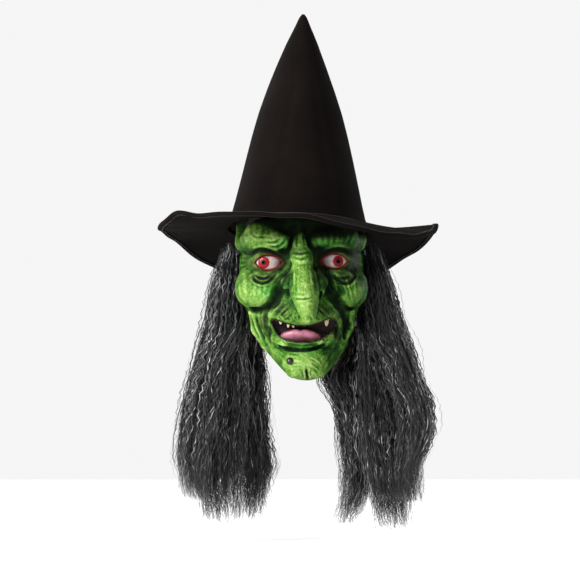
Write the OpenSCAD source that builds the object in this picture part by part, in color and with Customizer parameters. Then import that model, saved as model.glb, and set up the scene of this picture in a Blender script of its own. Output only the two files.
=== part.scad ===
// Latex witch mask with a pointed felt hat and a wig that hangs in two falls.
// Frame: +Z up, the face looks along -Y, +X is on the viewer's right.
// The origin is the centre of the head opening, level with the chin.

/* [Head] */
// Width of the head across the temples
head_w = 140; // [138:1:142]
// Length of the head, forehead to back
head_l = 188; // [184:1:190]
// Height of the wig cap's top above the chin
head_h = 246; // [240:1:250]
// Thickness of the latex skin
latex_t = 2.4; // [2:0.1:3]
// How far the nose stands out of the face
nose_out = 34; // [24:1:40]

/* [Hat] */
// Length of the cone from the crown edge to the tip, along its axis
cone_h = 249; // [230:1:260]
// Width of the crown edge, side to side
crown_w = 163; // [162:1:168]
// Length of the crown edge, front to back
crown_l = 206; // [204:1:210]
// Width of the brim from the crown edge outwards
brim_w = 77; // [70:1:84]
// Lean of the hat to the back, in degrees
hat_tilt = 9; // [8:0.5:10]
// Thickness of the hat's felt
felt_t = 1.6; // [1.2:0.1:1.8]

/* [Hair] */
// How full the hanging locks are, front to back
hair_fullness = 1; // [0.7:0.05:1]
// Thickness of the hair that stays on the back of the head
hair_depth = 13; // [8:1:16]

/* [Strap] */
// Width of the elastic strap
strap_w = 16; // [12:1:18]
// Thickness of the elastic strap
strap_t = 1.5; // [1:0.1:2]

/* [Hidden] */
$fn = 48;

green = "#5f9a2f";
black = "#171413";
hair_grey = "#3a3a3c";
red = "#b01c22";

gap = 0.4;              // air between pieces that lie on each other
half_w = head_w / 2;
half_l = head_l / 2;
temple_z = 150;         // height of the ring that the hat covers
cap_rise = head_h - temple_z;
latex_top = 205;        // the latex ends here, under the hat
rim_turn = 116;         // how far round from the front the latex reaches, in degrees
eye_x = [-37.5, 37];
eye_z = [135, 136];
gaze = [-17, 13];       // sideways turn of each iris, in degrees
eye_r = 22;
eye_back = -57;         // centre of the eye domes
mouth_x = 2;
mouth_z = 59;
strap_z = 70;
strap_x = 64.5;         // outer face of the strap beside the head
strap_back = 95;        // and behind it
rivet_y = 24;
rivet_r = 2;

// ---- shared solids ----

// A closed wall between two grids of points. Rows go up, columns run along the wall;
// wrap joins the last column to the first.
module walled_grid(outer, inner, wrap = false) {
    rows = len(outer);
    cols = len(outer[0]);
    last = wrap ? cols - 1 : cols - 2;
    count = rows * cols;
    function at(i, j) = i * cols + (j % cols);
    sides = [
        for (i = [0 : rows - 2]) for (j = [0 : last]) each [
            [at(i, j), at(i + 1, j), at(i + 1, j + 1)],
            [at(i, j), at(i + 1, j + 1), at(i, j + 1)],
            [count + at(i, j), count + at(i + 1, j + 1), count + at(i + 1, j)],
            [count + at(i, j), count + at(i, j + 1), count + at(i + 1, j + 1)],
        ]
    ];
    low_high = [
        for (j = [0 : last]) each [
            [at(0, j), at(0, j + 1), count + at(0, j + 1)],
            [at(0, j), count + at(0, j + 1), count + at(0, j)],
            [at(rows - 1, j), count + at(rows - 1, j), count + at(rows - 1, j + 1)],
            [at(rows - 1, j), count + at(rows - 1, j + 1), at(rows - 1, j + 1)],
        ]
    ];
    ends = wrap ? [] : [
        for (i = [0 : rows - 2]) each [
            [at(i, 0), count + at(i, 0), count + at(i + 1, 0)],
            [at(i, 0), count + at(i + 1, 0), at(i + 1, 0)],
            [at(i, cols - 1), at(i + 1, cols - 1), count + at(i + 1, cols - 1)],
            [at(i, cols - 1), count + at(i + 1, cols - 1), count + at(i, cols - 1)],
        ]
    ];
    polyhedron(points = concat([for (r = outer) each r], [for (r = inner) each r]),
               faces = concat(sides, low_high, ends), convexity = 8);
}

// A closed solid through a stack of rings with the same number of points, lowest first
module loft(rings) {
    n = len(rings[0]);
    top = len(rings) - 1;
    polyhedron(
        points = [for (r = rings) each r],
        faces = concat(
            [[for (j = [0 : n - 1]) j]],
            [for (i = [0 : top - 1]) for (j = [0 : n - 1]) each [
                [i * n + j, (i + 1) * n + j, (i + 1) * n + (j + 1) % n],
                [i * n + j, (i + 1) * n + (j + 1) % n, i * n + (j + 1) % n],
            ]],
            [[for (j = [0 : n - 1]) top * n + n - 1 - j]]
        ),
        convexity = 6);
}

// A closed loop of sections, each with the same number of points
module closed_sweep(sections) {
    n = len(sections);
    m = len(sections[0]);
    polyhedron(
        points = [for (s = sections) each s],
        faces = [
            for (k = [0 : n - 1]) for (s = [0 : m - 1])
                let (a = k * m + s, b = k * m + (s + 1) % m,
                     c = ((k + 1) % n) * m + (s + 1) % m, d = ((k + 1) % n) * m + s)
                each [[a, b, c], [a, c, d]]
        ],
        convexity = 8);
}

module mirrored_if(flip) {
    if (flip) mirror([1, 0, 0]) children();
    else children();
}

// ---- head surface ----

function bump(x, z, cx, cz, sx, sz) = exp(-pow((x - cx) / sx, 2) - pow((z - cz) / sz, 2));
function above_temple(z) = sqrt(max(0.01, 1 - pow((z - temple_z) / cap_rise, 2)));

// The lower face leans a little to the right
function sway(z) = lookup(z, [[0, 6], [60, 2.3], [95, 0]]);
// Half width of the face
function side_at(z) = z > temple_z ? half_w * above_temple(z)
    : lookup(z, [[0, 19], [6, 25], [18, 33], [37, 46], [57, 55], [70, 59],
                 [84, 65], [93, 72], [104, 74], [125, 72], [temple_z, half_w]]);
// Depth of the face in front of the ears, without nose, brow and cheeks
function front_at(z) = z > temple_z ? half_l * above_temple(z)
    : lookup(z, [[0, 90], [8, 99], [16, 103], [27, 101], [38, 93], [46, 99], [60, 98],
                 [70, 101], [85, 98], [130, 91], [temple_z, half_l]]);
// Depth of the head behind the ears
function back_at(z) = z > temple_z ? half_l * above_temple(z)
    : lookup(z, [[0, 60], [60, 80], [100, 90], [temple_z, half_l]]);

// 2 makes the front of the head an ellipse, more flattens it
function squareness(z) = lookup(z, [[temple_z, 2.8], [172, 2.3], [190, 2]]);

// Front surface at x, pushed out by off
function base_y(x, z, off = 0) =
    let (u = min(1, abs(x - sway(z)) / (side_at(z) + off)), n = squareness(z))
    -(front_at(z) + off) * pow(1 - pow(u, n), 1 / n);

nose_high = [[62, 0], [66, 0.15], [69, 0.6], [74, 0.92], [82, 1], [100, 0.82], [125, 0.42], [148, 0.12], [160, 0]];
nose_half = [[62, 8], [74, 10], [91, 13], [111, 14], [130, 12], [150, 11]];
nose_line = [[60, 3.5], [150, -2]];
// Outward relief of the sculpted face; trim narrows the nose on the inner side
function relief(x, z, trim) =
    (nose_out - trim) * lookup(z, nose_high)
        * exp(-pow((x - lookup(z, nose_line)) / (lookup(z, nose_half) - trim), 2))
    + 8 * bump(x, z, -18, 110, 9, 11) + 8 * bump(x, z, 21, 108, 9, 11)
    + 8 * bump(x, z, -47, 98, 18, 18) + 8 * bump(x, z, 49, 98, 18, 18)
    + 9 * bump(x, z, -32, 162, 24, 10) + 9 * bump(x, z, 32, 161, 24, 10)
    - 7 * bump(x, z, eye_x[0], eye_z[0], 17, 12) - 7 * bump(x, z, eye_x[1], eye_z[1], 17, 12)
    + 6 * bump(x, z, 6, 16, 14, 12) + 3 * bump(x, z, 3, 44, 22, 5);

// Lower edge of the latex at a turn from the front: chin, jaw, below the ear
function jaw_at(turn) = lookup(abs(turn), [[0, 0], [30, 1], [50, 6], [65, 16], [78, 30], [90, 46], [105, 57], [rim_turn, 61]]);
function skin(turn, z, off, trim = 0) =
    let (x = sway(z) + (side_at(z) + off) * sin(turn))
    abs(turn) < 90
        ? [x, base_y(x, z, off) - (z < latex_top - 15 ? relief(x, z, trim) : 0), z]
        : [x, -(back_at(z) + off) * cos(turn), z];

module almond(w, h) {
    r = (w * w + h * h) / (4 * h);
    intersection() {
        translate([0, h / 2 - r]) circle(r);
        translate([0, r - h / 2]) circle(r);
    }
}

module mouth_outline() {
    polygon([[-37, 12], [-28, 10], [-14, 6], [1, 4], [16, 7], [30, 12], [37, 11],
             [36, 3], [29, -5], [12, -13], [-2, -14], [-17, -12], [-28, -4], [-33, 3]]);
}

module front_cut(x, z) {
    translate([x, -40, z]) rotate([90, 0, 0]) linear_extrude(80) children();
}

module across_head(r) {
    translate([0, rivet_y, strap_z]) rotate([0, 90, 0]) cylinder(r = r, h = 2 * head_w, center = true);
}

module face_shell() {
    steps = 30;
    turns = [for (k = [-28 : 28]) rim_turn * k / 28];
    function height(t, s) = jaw_at(t) + (latex_top - jaw_at(t)) * s / steps;
    color(green) difference() {
        walled_grid([for (s = [0 : steps]) [for (t = turns) skin(t, height(t, s), 0)]],
                    [for (s = [0 : steps]) [for (t = turns) skin(t, height(t, s), -latex_t, 1.5)]]);
        for (k = [0, 1]) {
            front_cut(eye_x[k], eye_z[k]) almond(33, 18);
            translate([eye_x[k], eye_back, eye_z[k]]) sphere(eye_r + gap);
        }
        front_cut(mouth_x, mouth_z) mouth_outline();
        across_head(rivet_r + 0.05);
    }
}

// ---- wig cap, wefts and the hair that stays on the head ----

// The cap follows the head, over the latex
function cap_point(turn, polar, off) =
    skin(turn > 180 ? turn - 360 : turn, temple_z + (cap_rise + off) * cos(polar), off);
function cap_rim(turn) = lookup(turn > 180 ? 360 - turn : turn, [[0, 64], [60, 76], [90, 87], [125, 88], [150, 104], [180, 110]]);

module wig_cap() {
    n = 60;
    rings = 13;
    crown_hole = 8;     // small gathered ring at the top of the net
    function rows(off) = [
        for (i = [0 : rings]) [
            for (j = [0 : n - 1])
                let (turn = 360 * j / n, rim = cap_rim(turn))
                cap_point(turn, rim + (crown_hole - rim) * i / rings, off)
        ]
    ];
    color(black) walled_grid(rows(1.3), rows(0.5), wrap = true);
}

// Band of sewn hair roots round one side of the cap, under the brim
module weft(flip) {
    turns = [for (t = [74 : 8 : 178]) t];
    function row(z, off) = [for (t = turns) let (p = skin(t, z - 8 + 8 * cos(t), off)) [p[0] - sway(z), p[1], p[2]]];
    color(black) mirrored_if(flip) walled_grid([row(150, 4.4), row(156, 4.4)], [row(150, 2.8), row(156, 2.8)]);
}

module back_hair() {
    n = 10;
    steps = 5;
    low = 94;
    high = 140;
    function turn(k) = 153 + 54 * k / n;
    function height(s) = low + (high - low) * s / steps;
    function swell(k, s) = 5 + (hair_depth - 5) * sin(15 + 150 * k / n) * sin(25 + 110 * s / steps);
    function row(s, k, off) = let (p = skin(turn(k), height(s), 4.8 + off)) p;
    color(hair_grey)
        walled_grid([for (s = [0 : steps]) [for (k = [0 : n]) row(s, k, swell(k, s))]],
                    [for (s = [0 : steps]) [for (k = [0 : n]) row(s, k, 0)]]);
}

// ---- eyes ----

module eye_place(k) {
    translate([eye_x[k], eye_back, eye_z[k]]) children();
}

module look(k) {
    rotate([90, 0, gaze[k]]) children();
}

module eye_dome(k) {
    wall = 2;
    color("white") eye_place(k) difference() {
        rotate([90, 0, 0]) rotate_extrude() difference() {
            intersection() {
                circle(eye_r);
                translate([0, 8]) square([eye_r, eye_r]);
            }
            circle(eye_r - wall);
        }
        look(k) cylinder(r = 6.1, h = 2 * eye_r);
    }
}

// Red iris ring, open at the pupil so that the wearer can see out
module iris_ring(k) {
    color(red) eye_place(k) look(k) rotate_extrude() intersection() {
        difference() {
            circle(eye_r + 0.4);
            circle(eye_r - 1.6);
        }
        translate([1.6, 10]) square([4.3, 2 * eye_r]);
    }
}

// ---- mouth ----

// Dark cloth pocket behind the mouth
module mouth_lining() {
    half_wide = [[40, 24], [48, 32], [56, 38], [66, 41], [79, 41]];
    deep = 16;
    heights = [for (z = [41 : 4.75 : 79]) z];
    function row(z, off) = [
        for (k = [-8 : 8])
            let (x = mouth_x + lookup(z, half_wide) * k / 8,
                 hollow = deep * (1 - pow(k / 8.6, 2)) * (1 - pow((z - 60) / 21, 2)))
            [x, base_y(x, z) + latex_t + 1 + hollow + off, z]
    ];
    color(black) walled_grid([for (z = heights) row(z, 0)], [for (z = heights) row(z, 1)]);
}

module tongue() {
    color("#c8687e") hull() {
        for (side = [-1, 1]) {
            translate([mouth_x + side * 14, -89, mouth_z - 6]) sphere(4.5, $fn = 20);
            translate([mouth_x + side * 11, -94, mouth_z - 6.5]) sphere(4, $fn = 20);
        }
    }
}

module tooth(x, z, r, h, lean) {
    color("#e6d6a8") translate([x, base_y(x, z) + latex_t + r + 0.6, z]) rotate([180, lean, 0])
        rotate_extrude() polygon([[0, 0], [r, 0], [r * 0.85, h * 0.5], [r * 0.4, h * 0.9], [0, h]]);
}

module snaggle_teeth() {
    tooth(-14.5, 68, 2.2, 9, -4);
    tooth(-9.5, 67, 2.1, 8.5, 5);
}

module chin_wart() {
    x = -13;
    z = 24;
    r = 4;
    color(black) translate([x, base_y(x, z) - relief(x, z, 0) - r - 1.2, z]) sphere(r);
}

// ---- strap ----

module strap_outline(inset) {
    r = 30 - inset;
    x = strap_x - inset;
    y = strap_back - inset;
    for (side = [-1, 1]) translate([side * (x - r), y - r]) circle(r);
    translate([-x, rivet_y - 8]) square([2 * x, y - r - rivet_y + 8]);
    translate([-(x - r), 0]) square([2 * (x - r), y]);
}

module elastic_strap() {
    color("#26262a") difference() {
        translate([0, 0, strap_z - strap_w / 2]) linear_extrude(strap_w) difference() {
            strap_outline(0);
            strap_outline(strap_t);
            translate([-head_w, -10]) square([2 * head_w, rivet_y - 8 + 10]);
        }
        across_head(rivet_r + 0.05);
    }
}

// Two-headed rivet that holds a strap end to the latex
module strap_rivet(side) {
    inner = 50.8 + 2 * side;    // the lower face leans to the right
    outer = strap_x + 0.2;
    color("silver") translate([0, rivet_y, strap_z]) rotate([0, side * 90, 0]) {
        translate([0, 0, inner]) cylinder(r = rivet_r, h = outer - inner);
        translate([0, 0, outer]) cylinder(r1 = 5, r2 = 3.4, h = 1.4);
        translate([0, 0, inner - 1.2]) cylinder(r = 4.5, h = 1.2);
    }
}

module strap_slider() {
    color(black) translate([0, strap_back - strap_t / 2, strap_z]) difference() {
        cube([18, strap_t + 3.6, strap_w + 6], center = true);
        cube([20, strap_t + 0.6, strap_w + 0.6], center = true);
    }
}

// ---- hat cone ----

hat_x = -3.8;           // the crown sits a little to the left of the face
hat_y = 2.5;
hat_z = 175;
hat_lean = 1.4;         // and its tip leans back to the middle
lining_t = 0.8;

module hat_place() {
    translate([hat_x, hat_y, hat_z]) rotate([-hat_tilt, hat_lean, 0]) children();
}

// Radius of the cone at each share of its height, crown edge to rounded tip
cone_shape = [[0, 1], [0.04, 0.955], [0.09, 0.922], [0.2, 0.84], [0.31, 0.76], [0.42, 0.675], [0.53, 0.583],
              [0.64, 0.475], [0.75, 0.355], [0.86, 0.225], [0.95, 0.1], [0.985, 0.055], [1, 0.02]];

// Oval rings of a layer that lies inset under the cone's outer face; drop lowers all but the first
function cone_rings(inset, top, drop = 0) = [
    for (p = cone_shape) if (p[0] <= top)
        let (r = max(0.5, crown_w / 2 * p[1] - inset), q = max(0.5, crown_l / 2 * p[1] - inset))
        [for (j = [0 : 43]) let (turn = 360 * j / 44)
            [r * sin(turn), -q * cos(turn), cone_h * p[0] - (p[0] > 0 ? drop : 0)]]
];

// A wall between two stacks of rings, closed over the top
module thimble(outer, inner) {
    rows = len(outer);
    n = len(outer[0]);
    count = rows * n;
    top = (rows - 1) * n;
    polyhedron(
        points = concat([for (r = outer) each r], [for (r = inner) each r]),
        faces = concat(
            [for (i = [0 : rows - 2]) for (j = [0 : n - 1])
                let (a = i * n + j, b = a + n, d = i * n + (j + 1) % n, c = d + n)
                each [[a, b, c], [a, c, d],
                      [count + a, count + c, count + b], [count + a, count + d, count + c]]],
            [for (j = [0 : n - 1]) let (d = (j + 1) % n) each [[j, d, count + d], [j, count + d, count + j]]],
            [[for (j = [n - 1 : -1 : 0]) top + j], [for (j = [0 : n - 1]) count + top + j]]
        ),
        convexity = 6);
}

module hat_cone() {
    color(black) hat_place() thimble(cone_rings(0, 1), cone_rings(felt_t, 1, felt_t));
}

module cone_lining() {
    inset = felt_t + gap;
    color("#2b2622") hat_place()
        thimble(cone_rings(inset, 0.95, inset), cone_rings(inset + lining_t, 0.95, inset + lining_t));
}

module sweatband() {
    inset = felt_t + lining_t + 2 * gap;
    color("#3b3029") hat_place() walled_grid(cone_rings(inset, 0.1, inset), cone_rings(inset + 0.7, 0.1, inset + 0.7), wrap = true);
}

// Felt lap stitched down the back of the cone
module cone_back_seam() {
    half = 3;
    low = 0.3;
    high = 1.6;
    color(black) hat_place() loft([
        for (p = cone_shape) if (p[0] >= 0.04 && p[0] <= 0.95)
            let (y = crown_l / 2 * p[1], z = cone_h * p[0])
            [[-half, y + low, z], [-half, y + high, z], [half, y + high, z], [half, y + low, z]]
    ]);
}

// ---- hat brim ----

// Height of the brim's edge above the origin, by turn from the front to the right
brim_wave = [[0, 189], [20, 178], [36, 167], [56, 166], [74, 169], [88, 181], [98, 177], [110, 162],
             [126, 148], [138, 131], [150, 122], [180, 112], [208, 124], [220, 136], [232, 148],
             [244, 166], [258, 174], [272, 176], [288, 184], [300, 193], [316, 190], [340, 191], [360, 189]];
brim_t = 1.4;
brim_gap = 0.1;
brim_mid = -brim_gap - brim_t - brim_gap;   // the two felts meet here, below the crown edge
brim_end = 0.966;                           // share of the width where the felts stop inside the binding

function crown_edge(turn) = [
    hat_x + crown_w / 2 * sin(turn),
    hat_y - crown_l / 2 * cos(hat_tilt) * cos(turn),
    hat_z + crown_l / 2 * sin(hat_tilt) * cos(turn) - crown_w / 2 * sin(hat_lean) * sin(turn),
];
function brim_point(turn, share, lift) =
    let (c = crown_edge(turn),
         reach = brim_w * share,
         drop = share > 0 ? (lookup(turn, brim_wave) - c[2]) * pow(share, 1.25)
             : reach * (tan(hat_tilt) * cos(turn) - tan(hat_lean) * sin(turn)))
    [c[0] + reach * sin(turn), c[1] - reach * cos(turn), c[2] + drop + lift];

module brim_layer(high, low) {
    n = 72;
    shares = [-0.03, 0.08, 0.36, 0.66, brim_end];
    function rows(lift) = [for (s = shares) [for (j = [0 : n - 1]) brim_point(360 * j / n, s, lift)]];
    walled_grid(rows(low), rows(high), wrap = true);
}

module brim_top() {
    color(black) brim_layer(-brim_gap, -brim_gap - brim_t);
}

module brim_underside() {
    color(black) brim_layer(brim_mid - brim_gap, brim_mid - brim_gap - brim_t);
}

// Sections placed round the edge of the brim, from points [outwards, up]
function edge_sections(profile) = [
    for (j = [0 : 71])
        let (turn = 5 * j,
             p = brim_point(turn, 1, brim_mid),
             u0 = p - brim_point(turn, 0.94, brim_mid),
             u = u0 / norm(u0),
             t = [cos(turn), sin(turn), 0],
             v0 = cross(t, u),
             v = v0 / norm(v0) * (v0[2] > 0 ? 1 : -1))
        [for (q = profile) p + q[0] * u + q[1] * v]
];

module brim_wire() {
    r = 0.8;
    color("silver") closed_sweep(edge_sections([for (s = [0 : 5]) [r * cos(60 * s), r * sin(60 * s)]]));
}

// Felt strip folded over the edge, round the wire
module brim_binding() {
    low = 1.75;
    high = 2.35;
    legs = -4;
    color(black) closed_sweep(edge_sections([
        [legs, low], [0.6, low], [1.4, 0], [0.6, -low], [legs, -low],
        [legs, -high], [1.2, -high], [2.3, 0], [1.2, high], [legs, high],
    ]));
}

// ---- hanging hair ----

// Stations of the locks on the right: [height, middle x, middle y, half width, half depth]
right_front = [[-143, 127, 5, 3, 3], [-125, 123, 4, 8, 9], [-100, 120, 3, 14, 14], [-77, 125, 2, 21, 18],
               [-54, 129, 0, 24, 20], [-20, 125, -2, 24, 21], [2, 115, -4, 23, 21], [36, 107, -6, 21, 21],
               [70, 98, -8, 17, 21], [104, 93, -9, 13, 20], [128, 88, -10, 9, 18], [146, 84, -10, 5, 14]];
right_side = [[-176, 106, 42, 3, 3], [-150, 104, 42, 12, 9], [-120, 100, 42, 24, 14], [-80, 98, 42, 31, 16],
              [-40, 96, 42, 32, 18], [0, 92, 40, 28, 18], [30, 90, 38, 24, 18], [60, 90, 36, 18, 19],
              [90, 91, 34, 13, 18], [120, 89, 32, 10, 17], [144, 84, 30, 6, 13]];
right_back = [[-170, 47, 52, 3, 3], [-150, 56, 54, 11, 8], [-130, 62, 58, 17, 11], [-100, 68, 74, 21, 12],
              [-60, 66, 79, 23, 13], [-30, 62, 80, 22, 14], [10, 62, 82, 20, 14], [40, 66, 91, 20, 12],
              [62, 71, 98, 19, 12], [85, 70, 98, 18, 12], [115, 63, 90, 15, 10], [140, 57, 84, 12, 8]];
// And on the left, where x is mirrored
left_front = [[-140, 118, 4, 6, 7], [-120, 122, 3, 15, 13], [-90, 122, 2, 22, 18], [-60, 118, 0, 22, 20],
              [-30, 114, -2, 22, 21], [2, 108, -4, 20, 21], [36, 100, -6, 18, 21], [70, 94, -8, 15, 21],
              [104, 92, -9, 12, 20], [128, 88, -10, 9, 18], [146, 84, -10, 5, 14]];
left_side = [[-168, 93, 42, 3, 3], [-150, 94, 42, 15, 10], [-120, 98, 42, 28, 15], [-80, 98, 42, 32, 16],
             [-40, 94, 42, 31, 18], [0, 90, 40, 27, 18], [30, 89, 38, 23, 18], [60, 90, 36, 18, 19],
             [90, 91, 34, 13, 18], [120, 89, 32, 10, 17], [144, 84, 30, 6, 13]];
left_back = [[-165, 62, 56, 3, 3], [-150, 58, 60, 8, 8], [-130, 56, 70, 15, 10], [-100, 54, 76, 25, 12],
             [-66, 60, 79, 24, 13], [-30, 62, 80, 22, 14], [10, 62, 82, 20, 14], [40, 66, 91, 20, 12],
             [62, 71, 98, 19, 12], [85, 70, 98, 18, 12], [115, 63, 90, 15, 10], [140, 57, 84, 12, 8]];

module lock(stations, flip) {
    n = 14;
    color(hair_grey) mirrored_if(flip) loft([
        for (p = stations) [
            for (k = [0 : n - 1])
                [p[1] + p[3] * cos(-360 * k / n), p[2] + hair_fullness * p[4] * sin(-360 * k / n), p[0]]
        ]
    ]);
}

// ---- the nodes ----

face_shell();
wig_cap();
eye_dome(0);  // left_eye
eye_dome(1);  // right_eye
iris_ring(0);  // left_iris
iris_ring(1);  // right_iris
mouth_lining();
tongue();
tooth(-24, 72, 2.8, 9, 6);  // left_fang
tooth(28.5, 72, 3.2, 12, -6);  // right_fang
snaggle_teeth();
chin_wart();
weft(true);  // left_weft
weft(false);  // right_weft
back_hair();
elastic_strap();
strap_rivet(-1);  // left_strap_rivet
strap_rivet(1);  // right_strap_rivet
strap_slider();
hat_cone();
cone_lining();
cone_back_seam();
sweatband();
brim_top();
brim_underside();
brim_wire();
brim_binding();
lock(left_front, true);  // left_front_lock
lock(left_side, true);  // left_side_lock
lock(left_back, true);  // left_back_lock
lock(right_front, false);  // right_front_lock
lock(right_side, false);  // right_side_lock
lock(right_back, false);  // right_back_lock
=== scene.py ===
"""Looks of the latex witch mask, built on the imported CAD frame. Lengths here are in millimetres
until a mesh is made, in the part's own frame: +Z up, the face looks along -Y, z = 0 at the chin."""
import math

import bpy
import numpy as np
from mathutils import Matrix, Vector


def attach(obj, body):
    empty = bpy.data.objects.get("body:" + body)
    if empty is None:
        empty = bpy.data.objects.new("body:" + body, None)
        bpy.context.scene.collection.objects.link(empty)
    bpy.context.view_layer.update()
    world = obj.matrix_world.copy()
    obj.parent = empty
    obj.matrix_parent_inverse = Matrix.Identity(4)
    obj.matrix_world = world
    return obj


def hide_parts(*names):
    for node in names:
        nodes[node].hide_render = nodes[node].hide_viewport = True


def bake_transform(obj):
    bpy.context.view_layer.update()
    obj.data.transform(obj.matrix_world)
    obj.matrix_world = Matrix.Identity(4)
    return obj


MM = 0.001
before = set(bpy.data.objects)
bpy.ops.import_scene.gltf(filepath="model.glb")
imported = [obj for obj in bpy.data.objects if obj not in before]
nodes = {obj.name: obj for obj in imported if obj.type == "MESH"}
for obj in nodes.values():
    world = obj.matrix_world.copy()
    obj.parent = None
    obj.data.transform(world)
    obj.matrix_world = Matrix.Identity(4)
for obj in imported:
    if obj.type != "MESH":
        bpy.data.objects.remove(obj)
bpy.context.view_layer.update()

# ---------------------------------------------------------------- mesh helpers


def mesh_object(name, points, faces, material, smooth=True):
    """A mesh object from points in millimetres."""
    mesh = bpy.data.meshes.new(name)
    mesh.from_pydata((np.asarray(points, float) * MM).tolist(), [], np.asarray(faces).tolist()
                     if isinstance(faces, np.ndarray) else faces)
    mesh.validate()
    mesh.update()
    if smooth:
        mesh.polygons.foreach_set("use_smooth", [True] * len(mesh.polygons))
    ob = bpy.data.objects.new(name, mesh)
    bpy.context.scene.collection.objects.link(ob)
    ob.data.materials.append(material)
    return ob


def set_value(ob, name, values):
    """One number per vertex that the materials read."""
    layer = ob.data.attributes.new(name, "FLOAT", "POINT")
    layer.data.foreach_set("value", np.asarray(values, np.float32))


def weld(ob):
    """Joins points that lie on each other, so that a closed end or a split edge leaves no empty faces."""
    mod = ob.modifiers.new("weld", "WELD")
    mod.merge_threshold = 0.01 * MM


def paint(node, material, smooth=None, bevel=0.0):
    """Gives a CAD node that stays its finish, and softens its edges with a modifier."""
    ob = nodes[node]
    ob.data.materials.clear()
    ob.data.materials.append(material)
    weld(ob)
    if smooth:
        sub = ob.modifiers.new("smooth", "SUBSURF")
        sub.levels = sub.render_levels = smooth
    if bevel:
        mod = ob.modifiers.new("edges", "BEVEL")
        mod.width = bevel * MM
        mod.segments = 3
        mod.limit_method = "ANGLE"
    return ob


def grid_faces(rows, cols, wrap=False, start=0):
    """Quads of a grid of points stored row by row; wrap joins the last column to the first."""
    i = np.arange(rows - 1)[:, None]
    j = np.arange(cols if wrap else cols - 1)[None, :]
    k = (j + 1) % cols
    quads = np.stack([i * cols + j, i * cols + k, (i + 1) * cols + k, (i + 1) * cols + j], -1)
    return quads.reshape(-1, 4) + start


def waves(p, scale, seed, count=12):
    """Smooth noise from -1 to 1 at points p: crossed sine waves about scale long."""
    rng = np.random.default_rng(seed)
    k = rng.normal(size=(count, 3))
    k *= (2 * math.pi / scale * rng.uniform(0.6, 1.5, count) / np.linalg.norm(k, axis=1))[:, None]
    return np.sin(p @ k.T + rng.uniform(0, 6.3, count)).sum(-1) / math.sqrt(count) / 1.6


def smoothstep(a, b, v):
    t = np.clip((v - a) / (b - a), 0, 1)
    return t * t * (3 - 2 * t)


# ---------------------------------------------------------------- material helpers


class Shader:
    """A node material with one Principled shader. Inputs take numbers, colours or sockets."""

    def __init__(self, name, **shader):
        self.mat = bpy.data.materials.new(name)
        self.mat.use_nodes = True
        self.tree = self.mat.node_tree
        self.bsdf = self.tree.nodes["Principled BSDF"]
        self.set(self.bsdf, shader)

    def set(self, node, inputs):
        for key, value in inputs.items():
            socket = node.inputs[key.replace("_", " ") if isinstance(key, str) else key]
            if isinstance(value, bpy.types.NodeSocket):
                self.tree.links.new(value, socket)
            elif isinstance(value, tuple) and len(value) == 3 and socket.type == "RGBA":
                socket.default_value = (*value, 1)
            else:
                socket.default_value = value

    def add(self, kind, props=None, **inputs):
        node = self.tree.nodes.new("ShaderNode" + kind)
        for key, value in (props or {}).items():
            setattr(node, key, value)
        self.set(node, inputs)
        return node

    def value(self, name):
        return self.add("Attribute", {"attribute_name": name}).outputs["Fac"]

    def place(self, scale=(1, 1, 1), turn=(0, 0, 0)):
        """Object coordinates in metres, stretched."""
        at = self.add("TexCoord").outputs["Object"]
        return self.add("Mapping", None, Vector=at, Scale=scale, Rotation=turn).outputs[0]

    def warped(self, size, scale):
        """Object coordinates pushed about by noise, so that a pattern isn't regular."""
        at = self.place()
        push = self.add("TexNoise", None, Vector=at, Scale=scale, Detail=2.0).outputs["Color"]
        move = self.add("VectorMath", {"operation": "MULTIPLY_ADD"})
        self.set(move, {0: push, 1: (size, size, size), 2: at})
        return move.outputs[0]

    def noise(self, scale, detail=4.0, rough=0.55, at=None, distortion=0.0):
        return self.add("TexNoise", None, Vector=at or self.place(), Scale=scale, Detail=detail,
                        Roughness=rough, Distortion=distortion).outputs["Fac"]

    def voronoi(self, scale, at=None, feature="F1", out="Distance"):
        return self.add("TexVoronoi", {"feature": feature}, Vector=at or self.place(),
                        Scale=scale).outputs[out]

    def wave(self, scale, axis="X", distortion=0.0, at=None, profile="SIN"):
        return self.add("TexWave", {"bands_direction": axis, "wave_profile": profile},
                        Vector=at or self.place(), Scale=scale, Distortion=distortion).outputs["Fac"]

    def math(self, op, a, b=0.0, clamp=False):
        node = self.add("Math", {"operation": op, "use_clamp": clamp})
        self.set(node, {0: a, 1: b})
        return node.outputs[0]

    def span(self, value, low, high, to_low=0.0, to_high=1.0):
        node = self.add("MapRange", {"clamp": True})
        self.set(node, {"Value": value, "From_Min": low, "From_Max": high, "To_Min": to_low,
                        "To_Max": to_high})
        return node.outputs[0]

    def mix(self, share, a, b, how="MIX"):
        node = self.add("Mix", {"data_type": "RGBA", "blend_type": how})
        self.set(node, {0: share, 6: a, 7: b})
        return node.outputs[2]

    def ramp(self, value, *stops):
        """Colour ramp through (place, colour) stops."""
        node = self.add("ValToRGB", None, Fac=value)
        parts = node.color_ramp.elements
        for n, (place, colour) in enumerate(stops):
            part = parts[n] if n < 2 else parts.new(place)
            part.position = place
            part.color = (*colour, 1)
        return node.outputs[0]

    def bump(self, height, depth_mm, strength=1.0):
        node = self.add("Bump", None, Height=height, Distance=depth_mm * MM, Strength=strength,
                        **({"Normal": self.relief} if getattr(self, "relief", None) else {}))
        self.relief = node.outputs[0]
        self.set(self.bsdf, {"Normal": self.relief})

    def done(self, **shader):
        self.set(self.bsdf, shader)
        return self.mat


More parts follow.
